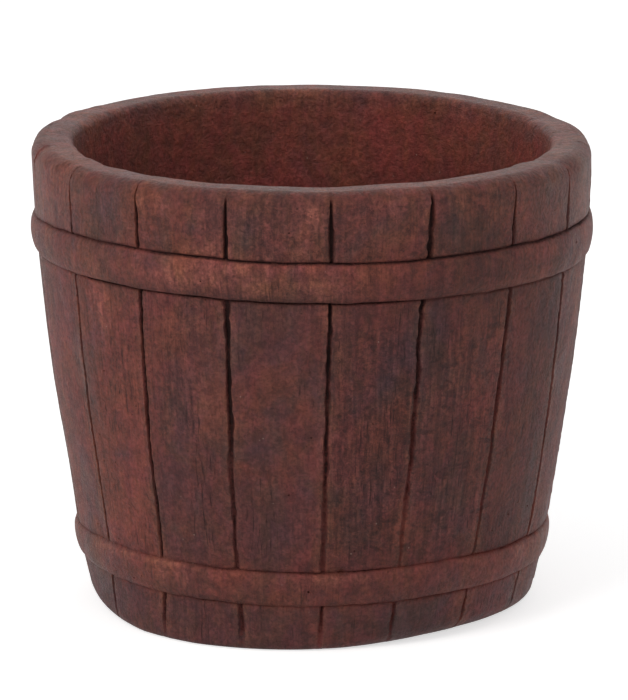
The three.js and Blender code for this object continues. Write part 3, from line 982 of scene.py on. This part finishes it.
def smudge(position, azimuth, weather):
    """Writes the marks on the outside into the weathering: smoke first, rubbing second."""
    r = axis_distance(position)
    outside = weather[:, 3] < 0.05
    for angle, height, length, width, lean, strength in MARKS:
        across = turn_from(azimuth, angle) * r / MM
        up = position[:, 2] / MM - height
        cosine, sine = math.cos(math.radians(lean)), math.sin(math.radians(lean))
        along, aside = up * cosine + across * sine, across * cosine - up * sine
        amount = np.exp(-((along / length) ** 2) - (aside / width) ** 2) * abs(strength) * outside
        channel = 0 if strength > 0 else 1
        weather[:, channel] = np.maximum(weather[:, channel], amount)


class PLANTER_OT_casting(bpy.types.Operator):
    """Model the pot: spin its section, then carve hoops, stave joints, dents and air holes"""

    bl_idname = "planter.casting"
    bl_label = "Barrel Casting"

    def execute(self, context):
        scene = context.scene
        barrel, hoops, carving = scene.planter_barrel, scene.planter_hoops, scene.planter_carving
        carver = BarrelCarver(barrel, hoops, carving)
        steps = len(carver.plan)
        pot = spin_section("cast_barrel", [tuple(p) for p in carver.outline], steps, closed=True)
        mesh = pot.data
        rows, columns = match_grid(mesh, carver.outline, steps)
        position, finish, weather, azimuth = carver.place(rows, columns)
        mark = chip_edges(position, azimuth)
        finish[:, 1] = np.maximum(finish[:, 1], 0.6 * mark)
        thicken_stain(position, azimuth, finish)
        smudge(position, azimuth, weather)
        mesh.vertices.foreach_set("co", position.ravel())
        write_colours(mesh, "finish", finish)
        write_colours(mesh, "weather", weather)
        brushed = mesh.attributes.new("brushed", "FLOAT", "POINT")
        brushed.data.foreach_set("value", brushing(position, azimuth).astype(np.float32))
        mesh.update()

        stain = scene.planter_stain
        mesh.materials.append(stained_concrete("stained_concrete", stain))
        mesh.materials.append(bare_concrete("bare_concrete", stain))
        corners = np.zeros(len(mesh.loops), int)
        mesh.loops.foreach_get("vertex_index", corners)
        zones = carver.zones[rows][corners.reshape(-1, 4)]
        bare = np.isin(zones, (UNDER, HOLE)).all(1)
        mesh.polygons.foreach_set("material_index", bare.astype(int))
        steady = (carver.plan[columns, 3] > 0)[corners.reshape(-1, 4)].all(1)
        self.press_holes(pot, steady & ~np.isin(zones, (UNDER, HOLE)).any(1), carving.air_holes)

        deselect_all()
        pot.select_set(True)
        context.view_layer.objects.active = pot
        bpy.ops.object.mode_set(mode="EDIT")
        bpy.ops.mesh.select_all(action="SELECT")
        bpy.ops.mesh.normals_make_consistent(inside=False)
        bpy.ops.object.mode_set(mode="OBJECT")
        bpy.ops.object.shade_smooth_by_angle(angle=CASTING_EDGE)
        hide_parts("barrel_casting")
        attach(pot, "pot")
        return {"FINISHED"}

    def press_holes(self, pot, allowed, count):
        """Presses the marked air holes and a scatter of others into single faces.

        The scatter goes by the faces' numbers, which Blender gives out differently on each run, so these
        holes move from run to run.
        """
        rng = random.Random(4)
        mesh = pot.data
        centres = np.zeros(len(mesh.polygons) * 3)
        mesh.polygons.foreach_get("center", centres)
        centres = centres.reshape(-1, 3)
        azimuths = np.degrees(np.arctan2(centres[:, 0], -centres[:, 1]))
        radii = axis_distance(centres)
        chosen = {}
        for angle, height, radius in MARKED_HOLES:
            gap = ((azimuths - angle) * 3.2) ** 2 + (centres[:, 2] / MM - height) ** 2
            gap[(radii < OUTSIDE_FROM) | ~allowed] = FAR
            chosen[int(np.argmin(gap))] = radius * MM
        order = [int(k) for k in np.flatnonzero(allowed)]
        rng.shuffle(order)
        for k in order[: count - len(chosen)]:
            chosen.setdefault(k, rng.choice(SCATTERED_RADII) * MM)
        bm = bmesh.new()
        bm.from_mesh(mesh)
        bm.faces.ensure_lookup_table()
        layer = bm.verts.layers.float_color["finish"]
        other = bm.verts.layers.float_color["weather"]
        picked = [(bm.faces[k], radius) for k, radius in chosen.items()]
        used = set()
        for face, radius in picked:
            near = set(face.verts)
            if near & used or min(e.calc_length() for e in face.edges) < SMALLEST_FACE:
                continue
            used |= near
            known = len(bm.verts)
            plain = face.verts[0][other].copy()
            press_air_hole(bm, face, radius, radius * rng.uniform(1.0, 1.5), layer, rng)
            bm.verts.ensure_lookup_table()
            for vertex in bm.verts[known:]:
                vertex[other] = plain
        bm.to_mesh(mesh)
        bm.free()


# ---------------------------------------------------------------- the stopper


class PLANTER_OT_stopper(bpy.types.Operator):
    """Model the rubber stopper in the drain hole"""

    bl_idname = "planter.stopper"
    bl_label = "Drain Stopper"

    def execute(self, context):
        barrel = context.scene.planter_barrel
        hole = barrel.drain_radius
        seat = barrel.floor_thickness + 0.3 * MM
        shank = hole - 0.5 * MM
        core = shank - 1.0 * MM
        tip = stopper_low.z
        flange, neck, knob = hole + 8 * MM, 5.5 * MM, 9 * MM
        flange_top, neck_top, knob_top = seat + 4 * MM, seat + 8 * MM, seat + 13 * MM
        ribs = []
        for top in (seat - 17 * MM, seat - 10 * MM, seat - 3 * MM):
            ribs += [(core, top - 3.5 * MM, 0), (shank, top - 1 * MM, 0.4 * MM), (core, top, 0.3 * MM)]
        corners = [
            (0, tip, 0),
            (core - 1.6 * MM, tip, 1.5 * MM),
            *ribs,
            (core, seat, 0.2 * MM),
            (flange, seat, 0.9 * MM),
            (flange, flange_top, 1.8 * MM),
            (hole + 3.5 * MM, flange_top, 0.5 * MM),
            (hole + 2.7 * MM, seat + 3.3 * MM, 0.4 * MM),
            (hole + 1.9 * MM, flange_top, 0.5 * MM),
            (neck, flange_top, 1.5 * MM),
            (neck, neck_top, 0.9 * MM),
            (knob, neck_top, 1.2 * MM),
            (knob, knob_top, 2.4 * MM),
            (3.6 * MM, knob_top, 0.8 * MM),
            (2.8 * MM, seat + 12.3 * MM, 0.8 * MM),
            (0, seat + 12.1 * MM, 0),
        ]
        outline = rounded(corners, step=15)
        plug = spin_section("rubber_stopper", outline, 72, closed=False)
        self.add_moulding_line(plug, seat)
        bpy.ops.object.shade_smooth_by_angle(angle=RUBBER_EDGE)
        plug.data.materials.append(stopper_rubber("stopper_rubber", context.scene.planter_stain))
        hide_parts("drain_stopper")
        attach(plug, "stopper")
        return {"FINISHED"}

    def add_moulding_line(self, plug, seat):
        """A fine raised line where the mould's halves met, down two sides of flange and knob."""
        for vertex in plug.data.vertices:
            r = math.hypot(vertex.co.x, vertex.co.y)
            if r > 5 * MM and vertex.co.z > seat - 0.1 * MM and abs(vertex.co.y) < 0.02 * r:
                vertex.co.x += math.copysign(0.22 * MM, vertex.co.x)
        plug.data.update()


# ---------------------------------------------------------------- materials


class Nodes:
    """Adds nodes to a tree and links them, keeping them in tidy columns."""

    def __init__(self, tree):
        self.tree = tree
        self.count = 0

    def add(self, kind, inputs=None, **settings):
        node = self.tree.nodes.new(kind)
        node.location = (-1800 + 190 * (self.count // 6), 300 - 190 * (self.count % 6))
        self.count += 1
        for key, value in settings.items():
            setattr(node, key, value)
        for key, value in (inputs or {}).items():
            self.feed(node.inputs[key], value)
        return node

    def feed(self, socket, value):
        if isinstance(value, bpy.types.NodeSocket):
            self.tree.links.new(value, socket)
        else:
            socket.default_value = value

    def math(self, operation, a, b=None, clamp=False):
        inputs = {0: a} if b is None else {0: a, 1: b}
        return self.add("ShaderNodeMath", inputs, operation=operation, use_clamp=clamp).outputs[0]

    def times(self, a, b, clamp=False):
        return self.math("MULTIPLY", a, b, clamp)

    def total(self, *terms):
        """Adds up values, each given alone or with its weight."""
        found = None
        for term in terms:
            value = self.math("MULTIPLY", *term) if isinstance(term, tuple) else term
            found = value if found is None else self.math("ADD", found, value)
        return found

    def span(self, value, low, high, to_low=0.0, to_high=1.0):
        """Maps low..high onto to_low..to_high with soft ends."""
        inputs = {"Value": value, "From Min": low, "From Max": high, "To Min": to_low, "To Max": to_high}
        return self.add("ShaderNodeMapRange", inputs, interpolation_type="SMOOTHSTEP").outputs[0]

    def blend(self, share, a, b, how="MIX"):
        mix = self.add("ShaderNodeMix", {"Factor": share}, data_type="RGBA", blend_type=how)
        self.feed(mix.inputs[6], a)
        self.feed(mix.inputs[7], b)
        return mix.outputs[2]

    def noise(self, vector, scale, detail=3.0, roughness=0.55, distortion=0.0):
        inputs = {"Vector": vector, "Scale": scale, "Detail": detail, "Roughness": roughness}
        inputs["Distortion"] = distortion
        return self.add("ShaderNodeTexNoise", inputs).outputs["Fac"]

    def moved(self, vector, by):
        return self.add("ShaderNodeVectorMath", {0: vector, 1: by}, operation="ADD").outputs[0]

    def stretched(self, vector, up, around=0.0):
        """Coordinates pressed together along Z, so that a pattern runs up and down. With around, it is laid
        on a ring of that radius, so that it doesn't change from the wall's outside to its inside."""
        parts = self.add("ShaderNodeSeparateXYZ", {0: vector}).outputs
        x, y = parts[0], parts[1]
        if around:
            flat = self.add("ShaderNodeCombineXYZ", {0: x, 1: y}).outputs[0]
            unit = self.add("ShaderNodeVectorMath", {0: flat}, operation="NORMALIZE").outputs[0]
            turned = self.add("ShaderNodeSeparateXYZ", {0: unit}).outputs
            x, y = self.math("MULTIPLY", turned[0], around), self.math("MULTIPLY", turned[1], around)
        z = self.math("MULTIPLY", parts[2], up)
        return self.add("ShaderNodeCombineXYZ", {0: x, 1: y, 2: z}).outputs[0]


def effect_group(name, outputs, build):
    """A node group built once, which takes a vector. build returns the outputs in order."""
    if name in bpy.data.node_groups:
        return bpy.data.node_groups[name]
    tree = bpy.data.node_groups.new(name, "ShaderNodeTree")
    tree.interface.new_socket(name="Vector", in_out="INPUT", socket_type="NodeSocketVector")
    for socket in outputs:
        tree.interface.new_socket(name=socket, in_out="OUTPUT", socket_type="NodeSocketFloat")
    helper = Nodes(tree)
    start = helper.add("NodeGroupInput")
    found = build(helper, start.outputs[0])
    end = helper.add("NodeGroupOutput")
    for socket, value in zip(outputs, found):
        tree.links.new(value, end.inputs[socket])
    return tree


def stain_patches():
    """Cloudy patches of stain, smoky smudges, places rubbed thin, a fine speckle, and patches whose brown
    leans to olive or to plum."""

    def build(h, vector):
        upright = h.stretched(vector, 0.62)
        broad = h.noise(upright, 12.0, 6.0, 0.62, 0.7)
        small = h.noise(h.moved(upright, (1.3, 4.1, 0.2)), 58.0, 6.0, 0.66, 0.8)
        speck = h.noise(vector, 360.0, 4.0, 0.72, 0.3)
        mixed = h.total((broad, 0.52), (small, 0.4), (speck, 0.08))
        smoke = h.noise(h.moved(upright, (3.1, 1.7, 0.4)), 17.0, 7.0, 0.6, 1.2)
        rub = h.noise(h.moved(upright, (7.3, 0.2, 2.9)), 30.0, 8.0, 0.72, 0.8)
        return (
            h.span(mixed, 0.39, 0.62),
            h.span(h.total((smoke, 0.93), (speck, 0.07)), 0.5, 0.7),
            h.span(h.total((rub, 0.85), (speck, 0.15)), 0.44, 0.66),
            h.span(speck, 0.3, 0.7),
            h.span(h.noise(h.moved(upright, (5.3, 2.2, 8.1)), 36.0, 6.0, 0.74, 0.6), 0.38, 0.62),
        )

    return effect_group("Stain Patches", ("Depth", "Smoke", "Rubbing", "Speckle", "Cast"), build)


def brush_marks():
    """Marks of a stiff brush drawn up and down the wet surface: soft streaks, open cracks and fine hairs."""

    def build(h, vector):
        warp = h.noise(vector, 22.0, 2.0, 0.5)
        push = h.add("ShaderNodeCombineXYZ", {0: h.times(warp, 0.006)}).outputs[0]
        bent = h.add("ShaderNodeVectorMath", {0: vector, 1: push}, operation="ADD").outputs[0]
        streaks = h.noise(h.stretched(bent, 0.055, 0.185), 380.0, 4.0, 0.62, 0.2)
        fine = h.noise(h.stretched(bent, 0.08, 0.185), 780.0, 2.0, 0.5, 0.12)
        patch = h.span(h.noise(h.stretched(vector, 0.45), 30.0, 4.0, 0.6), 0.44, 0.62)
        hairs = h.noise(h.stretched(h.moved(bent, (0.4, 0.9, 0.1)), 0.16, 0.185), 1000.0, 3.0, 0.6, 0.3)
        return streaks, h.times(h.span(fine, 0.575, 0.7), patch), h.span(hairs, 0.52, 0.66)

    return effect_group("Brush Marks", ("Streaks", "Cracks", "Hairs"), build)


def cast_grain():
    """The sandy skin of a casting: pin-sized air holes, pale grains of sand, lumps and a fine roughness."""

    def build(h, vector):
        bent = h.moved(vector, (0.013, 0.021, 0.034))
        cells = h.add("ShaderNodeTexVoronoi", {"Vector": bent, "Scale": 300.0, "Randomness": 1.0})
        crowd = h.span(h.noise(vector, 30.0, 4.0, 0.6), 0.42, 0.7, 0.02, 0.2)
        keep = h.add("ShaderNodeSeparateColor", {0: cells.outputs["Color"]}).outputs
        size = h.times(crowd, h.span(keep[0], 0.35, 1.0))
        holes = h.span(h.math("SUBTRACT", size, cells.outputs["Distance"]), -0.04, 0.05)
        dots = h.add("ShaderNodeTexVoronoi", {"Vector": vector, "Scale": 170.0, "Randomness": 1.0})
        pick = h.add("ShaderNodeSeparateColor", {0: dots.outputs["Color"]}).outputs[1]
        grains = h.times(h.span(dots.outputs["Distance"], 0.13, 0.05), h.span(pick, 0.94, 0.98))
        return holes, grains, h.noise(vector, 900.0, 3.0, 0.7), h.noise(vector, 120.0, 5.0, 0.62, 0.3)

    return effect_group("Cast Grain", ("Holes", "Grains", "Sand", "Lumps"), build)


def new_material(name):
    material = bpy.data.materials.new(name)
    material.use_nodes = True
    material.node_tree.nodes.clear()
    return material, Nodes(material.node_tree)


def place_group(helper, group, vector):
    node = helper.add("ShaderNodeGroup", node_tree=group)
    helper.tree.links.new(vector, node.inputs["Vector"])
    return node.outputs


def patterned_material(name, *groups):
    """A new material, with the outputs of each node group laid on it."""
    material, h = new_material(name)
    vector = h.add("ShaderNodeTexCoord").outputs["Object"]
    return material, h, [place_group(h, group(), vector) for group in groups]


def finish_shader(h, colour, rough, height, distance, specular):
    bump = h.add("ShaderNodeBump", {"Height": height, "Strength": 1.0, "Distance": distance})
    inputs = {"Base Color": colour, "Roughness": rough, "Normal": bump.outputs[0]}
    inputs["Specular IOR Level"] = specular
    shader = h.add("ShaderNodeBsdfPrincipled", inputs)
    out = h.add("ShaderNodeOutputMaterial")
    h.tree.links.new(shader.outputs[0], out.inputs[0])


def channels(h, name):
    node = h.add("ShaderNodeAttribute", attribute_name=name)
    parts = h.add("ShaderNodeSeparateColor", {0: node.outputs["Color"]}).outputs
    return parts[0], parts[1], parts[2], node.outputs["Alpha"]


def stained_concrete(name, stain):
    """Reddish brown stain brushed over concrete, dark in the carving and rubbed thin on the edges."""
    groups = (stain_patches, brush_marks, cast_grain)
    material, h, (patches, marks, grain) = patterned_material(name, *groups)
    carved, worn, tone, raised = channels(h, "finish")
    smoked, rubbed_bare, pigment, inside = channels(h, "weather")
    red, brown, charcoal, ochre, joint, bright = (
        linear(c) for c in (stain.red, stain.brown, stain.charcoal, stain.ochre, stain.joint, stain.pigment)
    )
    inner_red = tuple(a * b for a, b in zip(red, (1.17, 0.92, 0.9, 1)))
    inner_brown = tuple(a * b for a, b in zip(brown, (1.34, 1.12, 0.88, 1)))

    lift = h.total((tone, 0.5), (raised, 0.22), -0.26)
    lift = h.times(lift, h.math("SUBTRACT", 1.0, inside))
    depth = h.math("ADD", patches["Depth"], lift, clamp=True)
    colour = h.blend(depth, h.blend(inside, brown, inner_brown), h.blend(inside, red, inner_red))

    broken = h.span(patches["Depth"], 0.0, 1.0, 1.2, 0.7)
    smoke = h.total((patches["Smoke"], 0.5), (h.times(smoked, broken), 0.95))
    smoke = h.times(smoke, h.span(inside, 0.0, 1.0, 1.0, 0.55), clamp=True)
    colour = h.blend(smoke, colour, charcoal)

    streak = h.span(marks["Streaks"], 0.35, 0.65, -0.5, 0.5)
    rubbed = h.total((worn, 0.4), (streak, 0.12), (rubbed_bare, 0.75), 0.06)
    rubbed = h.times(rubbed, patches["Rubbing"])
    rubbed = h.math("ADD", rubbed, h.times(rubbed_bare, 0.22), clamp=True)
    colour = h.blend(rubbed, colour, ochre)
    cast = h.total((patches["Cast"], 0.85), (worn, 0.55), -0.06)
    tint = h.blend(h.times(cast, 1.0, clamp=True), (1.0, 0.94, 1.05, 1), (1.0, 1.07, 0.87, 1))
    colour = h.blend(1.0, colour, tint, "MULTIPLY")

    brushed = h.add("ShaderNodeAttribute", attribute_name="brushed").outputs["Fac"]
    drawn = h.total((brushed, 0.36), (inside, -0.17), 0.22)
    drawn = h.times(h.span(marks["Streaks"], 0.3, 0.7, -0.5, 0.5), drawn)
    gritty = h.times(h.span(grain["Sand"], 0.3, 0.7, -0.5, 0.5), h.total((brushed, 0.5), 0.08))
    shade = h.times(h.total(drawn, gritty, 1.0), h.span(patches["Speckle"], 0.0, 1.0, 0.77, 1.23))
    shade = h.times(shade, h.span(grain["Lumps"], 0.3, 0.7, 0.76, 1.25))
    # The tone lightens or darkens the colour: the stain's own tone, the hoops' painted shading and the lip's
    # painted highlight.
    shade = h.times(shade, h.total((tone, 0.9), 0.61))
    grey = h.add("ShaderNodeCombineColor", {0: shade, 1: shade, 2: shade}).outputs[0]
    colour = h.blend(1.0, colour, grey, "MULTIPLY")
    cracks = h.times(marks["Cracks"], h.span(inside, 0.0, 1.0, 0.75, 0.15))
    cracks = h.times(cracks, h.span(worn, 0.1, 0.35, 1.0, 0.1))
    hairs = h.times(h.times(marks["Hairs"], brushed), 0.5)
    cracks = h.math("MAXIMUM", cracks, hairs)
    colour = h.blend(cracks, colour, joint)
    colour = h.blend(h.times(grain["Grains"], 0.6), colour, linear((0.66, 0.55, 0.5)))

    ragged = h.total(carved, (h.math("SUBTRACT", patches["Speckle"], 0.5), 0.5), (grain["Lumps"], 0.3), -0.15)
    deep = h.span(ragged, 0.12, 0.8)
    walls = h.blend(pigment, linear((0.25, 0.12, 0.105)), bright)
    stained = h.blend(h.span(ragged, 0.45, 1.0), walls, joint)
    colour = h.blend(h.times(deep, 0.95), colour, stained)
    # Pinholes are darkened to the joints' colour: painted shade in them.
    colour = h.blend(h.times(grain["Holes"], 0.55), colour, joint)

    sheen = h.span(patches["Smoke"], 0.0, 1.0, 0.56, 0.48)
    rough = h.total(sheen, h.span(grain["Sand"], 0.3, 0.7, -0.07, 0.1))
    rough = h.total(rough, (worn, -0.22))
    rough = h.math("ADD", rough, h.times(deep, 0.3), clamp=True)
    height = h.total(
        (marks["Streaks"], 0.22),
        (grain["Sand"], 0.17),
        (patches["Speckle"], 0.36),
        (grain["Lumps"], 0.95),
        (cracks, -0.5),
        (grain["Holes"], -0.5),
        (grain["Grains"], 0.2),
    )
    finish_shader(h, colour, rough, height, 0.0017, 0.2)
    return material


def bare_concrete(name, stain):
    """Unstained concrete, with drips and dust of stain."""
    material, h, (patches, grain) = patterned_material(name, stain_patches, cast_grain)
    bare = linear(stain.bare)
    colour = h.blend(patches["Depth"], bare, tuple(0.62 * c for c in bare[:3]) + (1,))
    colour = h.blend(h.times(patches["Rubbing"], 0.35), colour, linear(stain.red))
    # Pinholes are darkened to charcoal: painted shade in them.
    colour = h.blend(h.times(grain["Holes"], 0.7), colour, linear(stain.charcoal))
    rough = h.span(grain["Sand"], 0.3, 0.7, 0.72, 0.9)
    height = h.total((grain["Sand"], 0.2), (grain["Lumps"], 0.5), (grain["Holes"], -0.6))
    finish_shader(h, colour, rough, height, 0.0012, 0.3)
    return material


def stopper_rubber(name, stain):
    """Matte moulded rubber with a little dust and grit on it."""
    material, h, (patches, grain) = patterned_material(name, stain_patches, cast_grain)
    dust = linear((0.36, 0.3, 0.27))
    colour = h.blend(h.times(patches["Rubbing"], 0.28), linear(stain.rubber), dust)
    colour = h.blend(h.times(grain["Grains"], 0.6), colour, dust)
    rough = h.span(patches["Depth"], 0.0, 1.0, 0.55, 0.72)
    finish_shader(h, colour, rough, h.times(grain["Sand"], 0.25), 0.0002, 0.4)
    return material


# ---------------------------------------------------------------- the stage


# The camera's shift to the right in metres, and its lens and sensor in millimetres
CAMERA_SHIFT = 1.7 * MM
LENS = 343.1
SENSOR_WIDTH = 36
# What the lights are aimed at
LIT_POINT = (0, 0, 0.17)


def seen_background(h):
    """1 for the rays that show the background, to the camera, in gloss or through glass."""
    path = h.add("ShaderNodeLightPath").outputs
    seen = h.math("MAXIMUM", path["Is Camera Ray"], path["Is Glossy Ray"])
    return h.math("MAXIMUM", seen, path["Is Transmission Ray"])


class PLANTER_OT_stage(bpy.types.Operator):
    """Set up the camera, the floor and the soft studio light"""

    bl_idname = "planter.stage"
    bl_label = "Studio"

    def execute(self, context):
        scene = context.scene
        studio = scene.planter_studio
        scene.view_settings.view_transform = "Standard"
        self.camera(scene, studio)
        self.floor()
        self.world(scene, studio)
        self.light("key_light", (-2.1, -2.6, 2.3), 1.9, studio.key_power, (1.0, 0.98, 0.96))
        self.light("fill_light", (2.7, -1.5, 1.5), 1.5, studio.fill_power, (0.97, 0.98, 1.0))
        self.light("back_light", (0.5, 2.7, 2.2), 1.8, 0.8 * studio.fill_power, (1.0, 1.0, 1.0))
        return {"FINISHED"}

    def camera(self, scene, studio):
        deselect_all()
        place = (CAMERA_SHIFT, -studio.distance, studio.camera_height)
        tilt = (math.pi / 2 - studio.camera_pitch, 0, 0)
        bpy.ops.object.camera_add(location=place, rotation=tilt)
        camera = bpy.context.object
        camera.name = "photo_camera"
        camera.data.sensor_width = SENSOR_WIDTH
        camera.data.lens = LENS
        camera.data.clip_end = 50
        scene.camera = camera

    def floor(self):
        deselect_all()
        bpy.ops.mesh.primitive_plane_add(size=40, location=(0, 0, -0.2 * MM))
        floor = bpy.context.object
        floor.name = "studio_floor"
        material, h = new_material("studio_floor")
        paper = h.add("ShaderNodeBsdfDiffuse", {"Color": (0.86, 0.86, 0.86, 1)})
        glow = h.add("ShaderNodeEmission", {"Color": (1, 1, 1, 1)})
        h.tree.links.new(h.times(seen_background(h), 0.62), glow.inputs["Strength"])
        both = h.add("ShaderNodeAddShader", {0: paper.outputs[0], 1: glow.outputs[0]})
        out = h.add("ShaderNodeOutputMaterial")
        h.tree.links.new(both.outputs[0], out.inputs[0])
        floor.data.materials.append(material)

    def world(self, scene, studio):
        world = bpy.data.worlds.new("studio_air")
        scene.world = world
        world.use_nodes = True
        world.node_tree.nodes.clear()
        h = Nodes(world.node_tree)
        strength = h.math("ADD", h.times(seen_background(h), 1 - studio.ambient), studio.ambient)
        air = h.add("ShaderNodeBackground", {"Color": (1, 1, 1, 1), "Strength": strength})
        out = h.add("ShaderNodeOutputWorld")
        h.tree.links.new(air.outputs[0], out.inputs[0])

    def light(self, name, place, size, power, colour):
        deselect_all()
        aim = Vector(LIT_POINT) - Vector(place)
        turn = aim.to_track_quat("-Z", "Y").to_euler()
        bpy.ops.object.light_add(type="AREA", location=place, rotation=turn)
        lamp = bpy.context.object
        lamp.name = name
        lamp.data.shape = "DISK"
        lamp.data.size = size
        lamp.data.energy = power
        lamp.data.color = colour


# ---------------------------------------------------------------- panel and running


class PLANTER_PT_panel(bpy.types.Panel):
    """Lists the planter's pieces and their settings"""

    bl_idname = "PLANTER_PT_panel"
    bl_label = "Barrel Planter"
    bl_space_type = "VIEW_3D"
    bl_region_type = "UI"
    bl_category = "Planter"

    def draw(self, context):
        layout = self.layout
        for operator in OPERATORS:
            layout.operator(operator.bl_idname)
        for name, group in SETTINGS.items():
            box = layout.box()
            box.label(text=group.__doc__)
            for prop in group.__annotations__:
                box.prop(getattr(context.scene, name), prop)


OPERATORS = (PLANTER_OT_casting, PLANTER_OT_stopper, PLANTER_OT_stage)
CLASSES = (*SETTINGS.values(), *OPERATORS, PLANTER_PT_panel)


def register():
    for cls in CLASSES:
        bpy.utils.register_class(cls)
    for name, group in SETTINGS.items():
        setattr(bpy.types.Scene, name, PointerProperty(type=group))


def unregister():
    for name in SETTINGS:
        delattr(bpy.types.Scene, name)
    for cls in reversed(CLASSES):
        bpy.utils.unregister_class(cls)


def main():
    register()
    bpy.ops.planter.casting()
    bpy.ops.planter.stopper()
    bpy.ops.planter.stage()
    bpy.context.view_layer.update()


if __name__ == "__main__":
    main()
